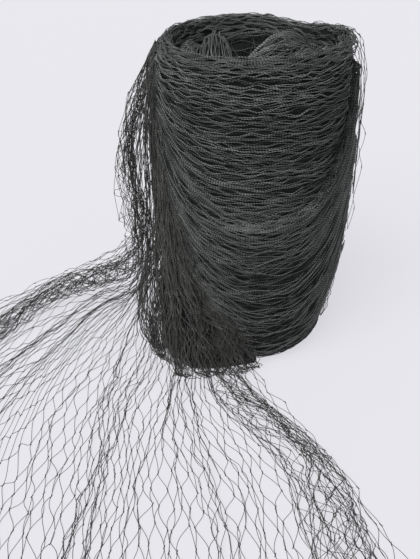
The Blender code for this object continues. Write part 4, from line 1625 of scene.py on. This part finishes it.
@dataclass
class Studio:
    """Pale floor, soft light and the camera at the photograph's angle."""

    eye: tuple[float, float, float] = (-0.070, -0.823, 0.645)
    pitch_deg: float = 35.0
    roll_deg: float = 2.0
    lens: float = 39.54
    floor_size: float = 24.0
    floor_colour: Colour = (0.20, 0.20, 0.205)
    floor_glow: Colour = (0.61, 0.604, 0.642)
    world_colour: Colour = (0.96, 0.965, 1.0)
    world_strength: float = 0.40
    sun_strength: float = 2.4
    sun_spread_deg: float = 50.0
    sun_heading: tuple[float, float, float] = (0.55, 0.75, -1.25)

    def floor(self) -> None:
        """A wide plain pale floor."""
        half = 0.5 * self.floor_size
        points = np.array([(-half, -half, 0.0), (half, -half, 0.0), (half, half, 0.0), (-half, half, 0.0)])
        mesh = new_mesh("studio_floor", points, np.arange(4), np.array([0]))
        material, kit, shader = new_material("studio_floor", self.floor_colour)
        kit.feed(shader, {
            "Base Color": (*self.floor_colour, 1.0),
            "Roughness": 0.9,
            "Specular IOR Level": 0.1,
            "Emission Color": (*self.floor_glow, 1.0),
            "Emission Strength": 1.0,
        })
        new_piece("studio_floor", mesh, material)

    def lights(self) -> None:
        """An even pale surround and one soft sun-like key from the front left."""
        scene = bpy.context.scene
        world = bpy.data.worlds.new("pale_surround")
        world.use_nodes = True
        background = world.node_tree.nodes["Background"]
        background.inputs["Color"].default_value = (*self.world_colour, 1.0)
        background.inputs["Strength"].default_value = self.world_strength
        scene.world = world
        light = bpy.data.lights.new("soft_key", "SUN")
        light.energy = self.sun_strength
        light.angle = math.radians(self.sun_spread_deg)
        lamp = bpy.data.objects.new("soft_key", light)
        lamp.matrix_world = facing_along(np.array(self.sun_heading))
        scene.collection.objects.link(lamp)

    def camera(self) -> None:
        """The camera, pitched down and turned slightly about its own axis."""
        data = bpy.data.cameras.new("view")
        data.lens = self.lens
        data.sensor_width = 36.0
        data.sensor_fit = "AUTO"
        data.clip_start = 0.02
        data.clip_end = 30.0
        camera = bpy.data.objects.new("view", data)
        pitch = Matrix.Rotation(math.radians(90.0 - self.pitch_deg), 4, "X")
        roll = Matrix.Rotation(math.radians(-self.roll_deg), 4, "Z")
        camera.matrix_world = Matrix.Translation(self.eye) @ pitch @ roll
        bpy.context.scene.collection.objects.link(camera)
        bpy.context.scene.camera = camera

    def build(self) -> None:
        """Set up camera, floor, lights and plain colour handling."""
        self.camera()
        self.floor()
        self.lights()
        bpy.context.scene.view_settings.view_transform = "Standard"
        bpy.context.scene.view_settings.look = "None"


def facing_along(direction: Array) -> Matrix:
    """Rotation that points a lamp's own -Z axis along a direction."""
    back = -direction / np.linalg.norm(direction)
    side = unit(np.cross(UP, back))
    rows = np.stack([side, np.cross(back, side), back], axis=1)
    return Matrix(rows.tolist()).to_4x4()


def main() -> None:
    """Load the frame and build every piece."""
    logging.basicConfig(level=logging.INFO, format="%(message)s")
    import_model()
    form = RollForm()
    Studio().build()
    roll_yarn = YarnFinish("roll_yarn", (0.008, 0.0093, 0.009), (0.350, 0.366, 0.354)).material()
    net_yarn = YarnFinish("net_yarn", (0.016, 0.0175, 0.016), (0.170, 0.176, 0.160)).material()
    swag_yarn = YarnFinish("swag_yarn", (0.014, 0.016, 0.015), (0.190, 0.200, 0.190)).material()
    # The packed yarn's near-black colours are a painted shade of the depths between the outer strands.
    packed = DeepShadeFinish("packed_yarn_shade", (0.003, 0.0035, 0.0035), (0.010, 0.012, 0.0115)).material()
    RollCore(form).build(packed)
    RollStrands(form).build(roll_yarn)
    HollowFolds(form).build(roll_yarn)
    LooseEnd(form).build(net_yarn)
    BaseTresses(form).build(net_yarn)
    SideSwag(form).build(swag_yarn)


if __name__ == "__main__":
    main()
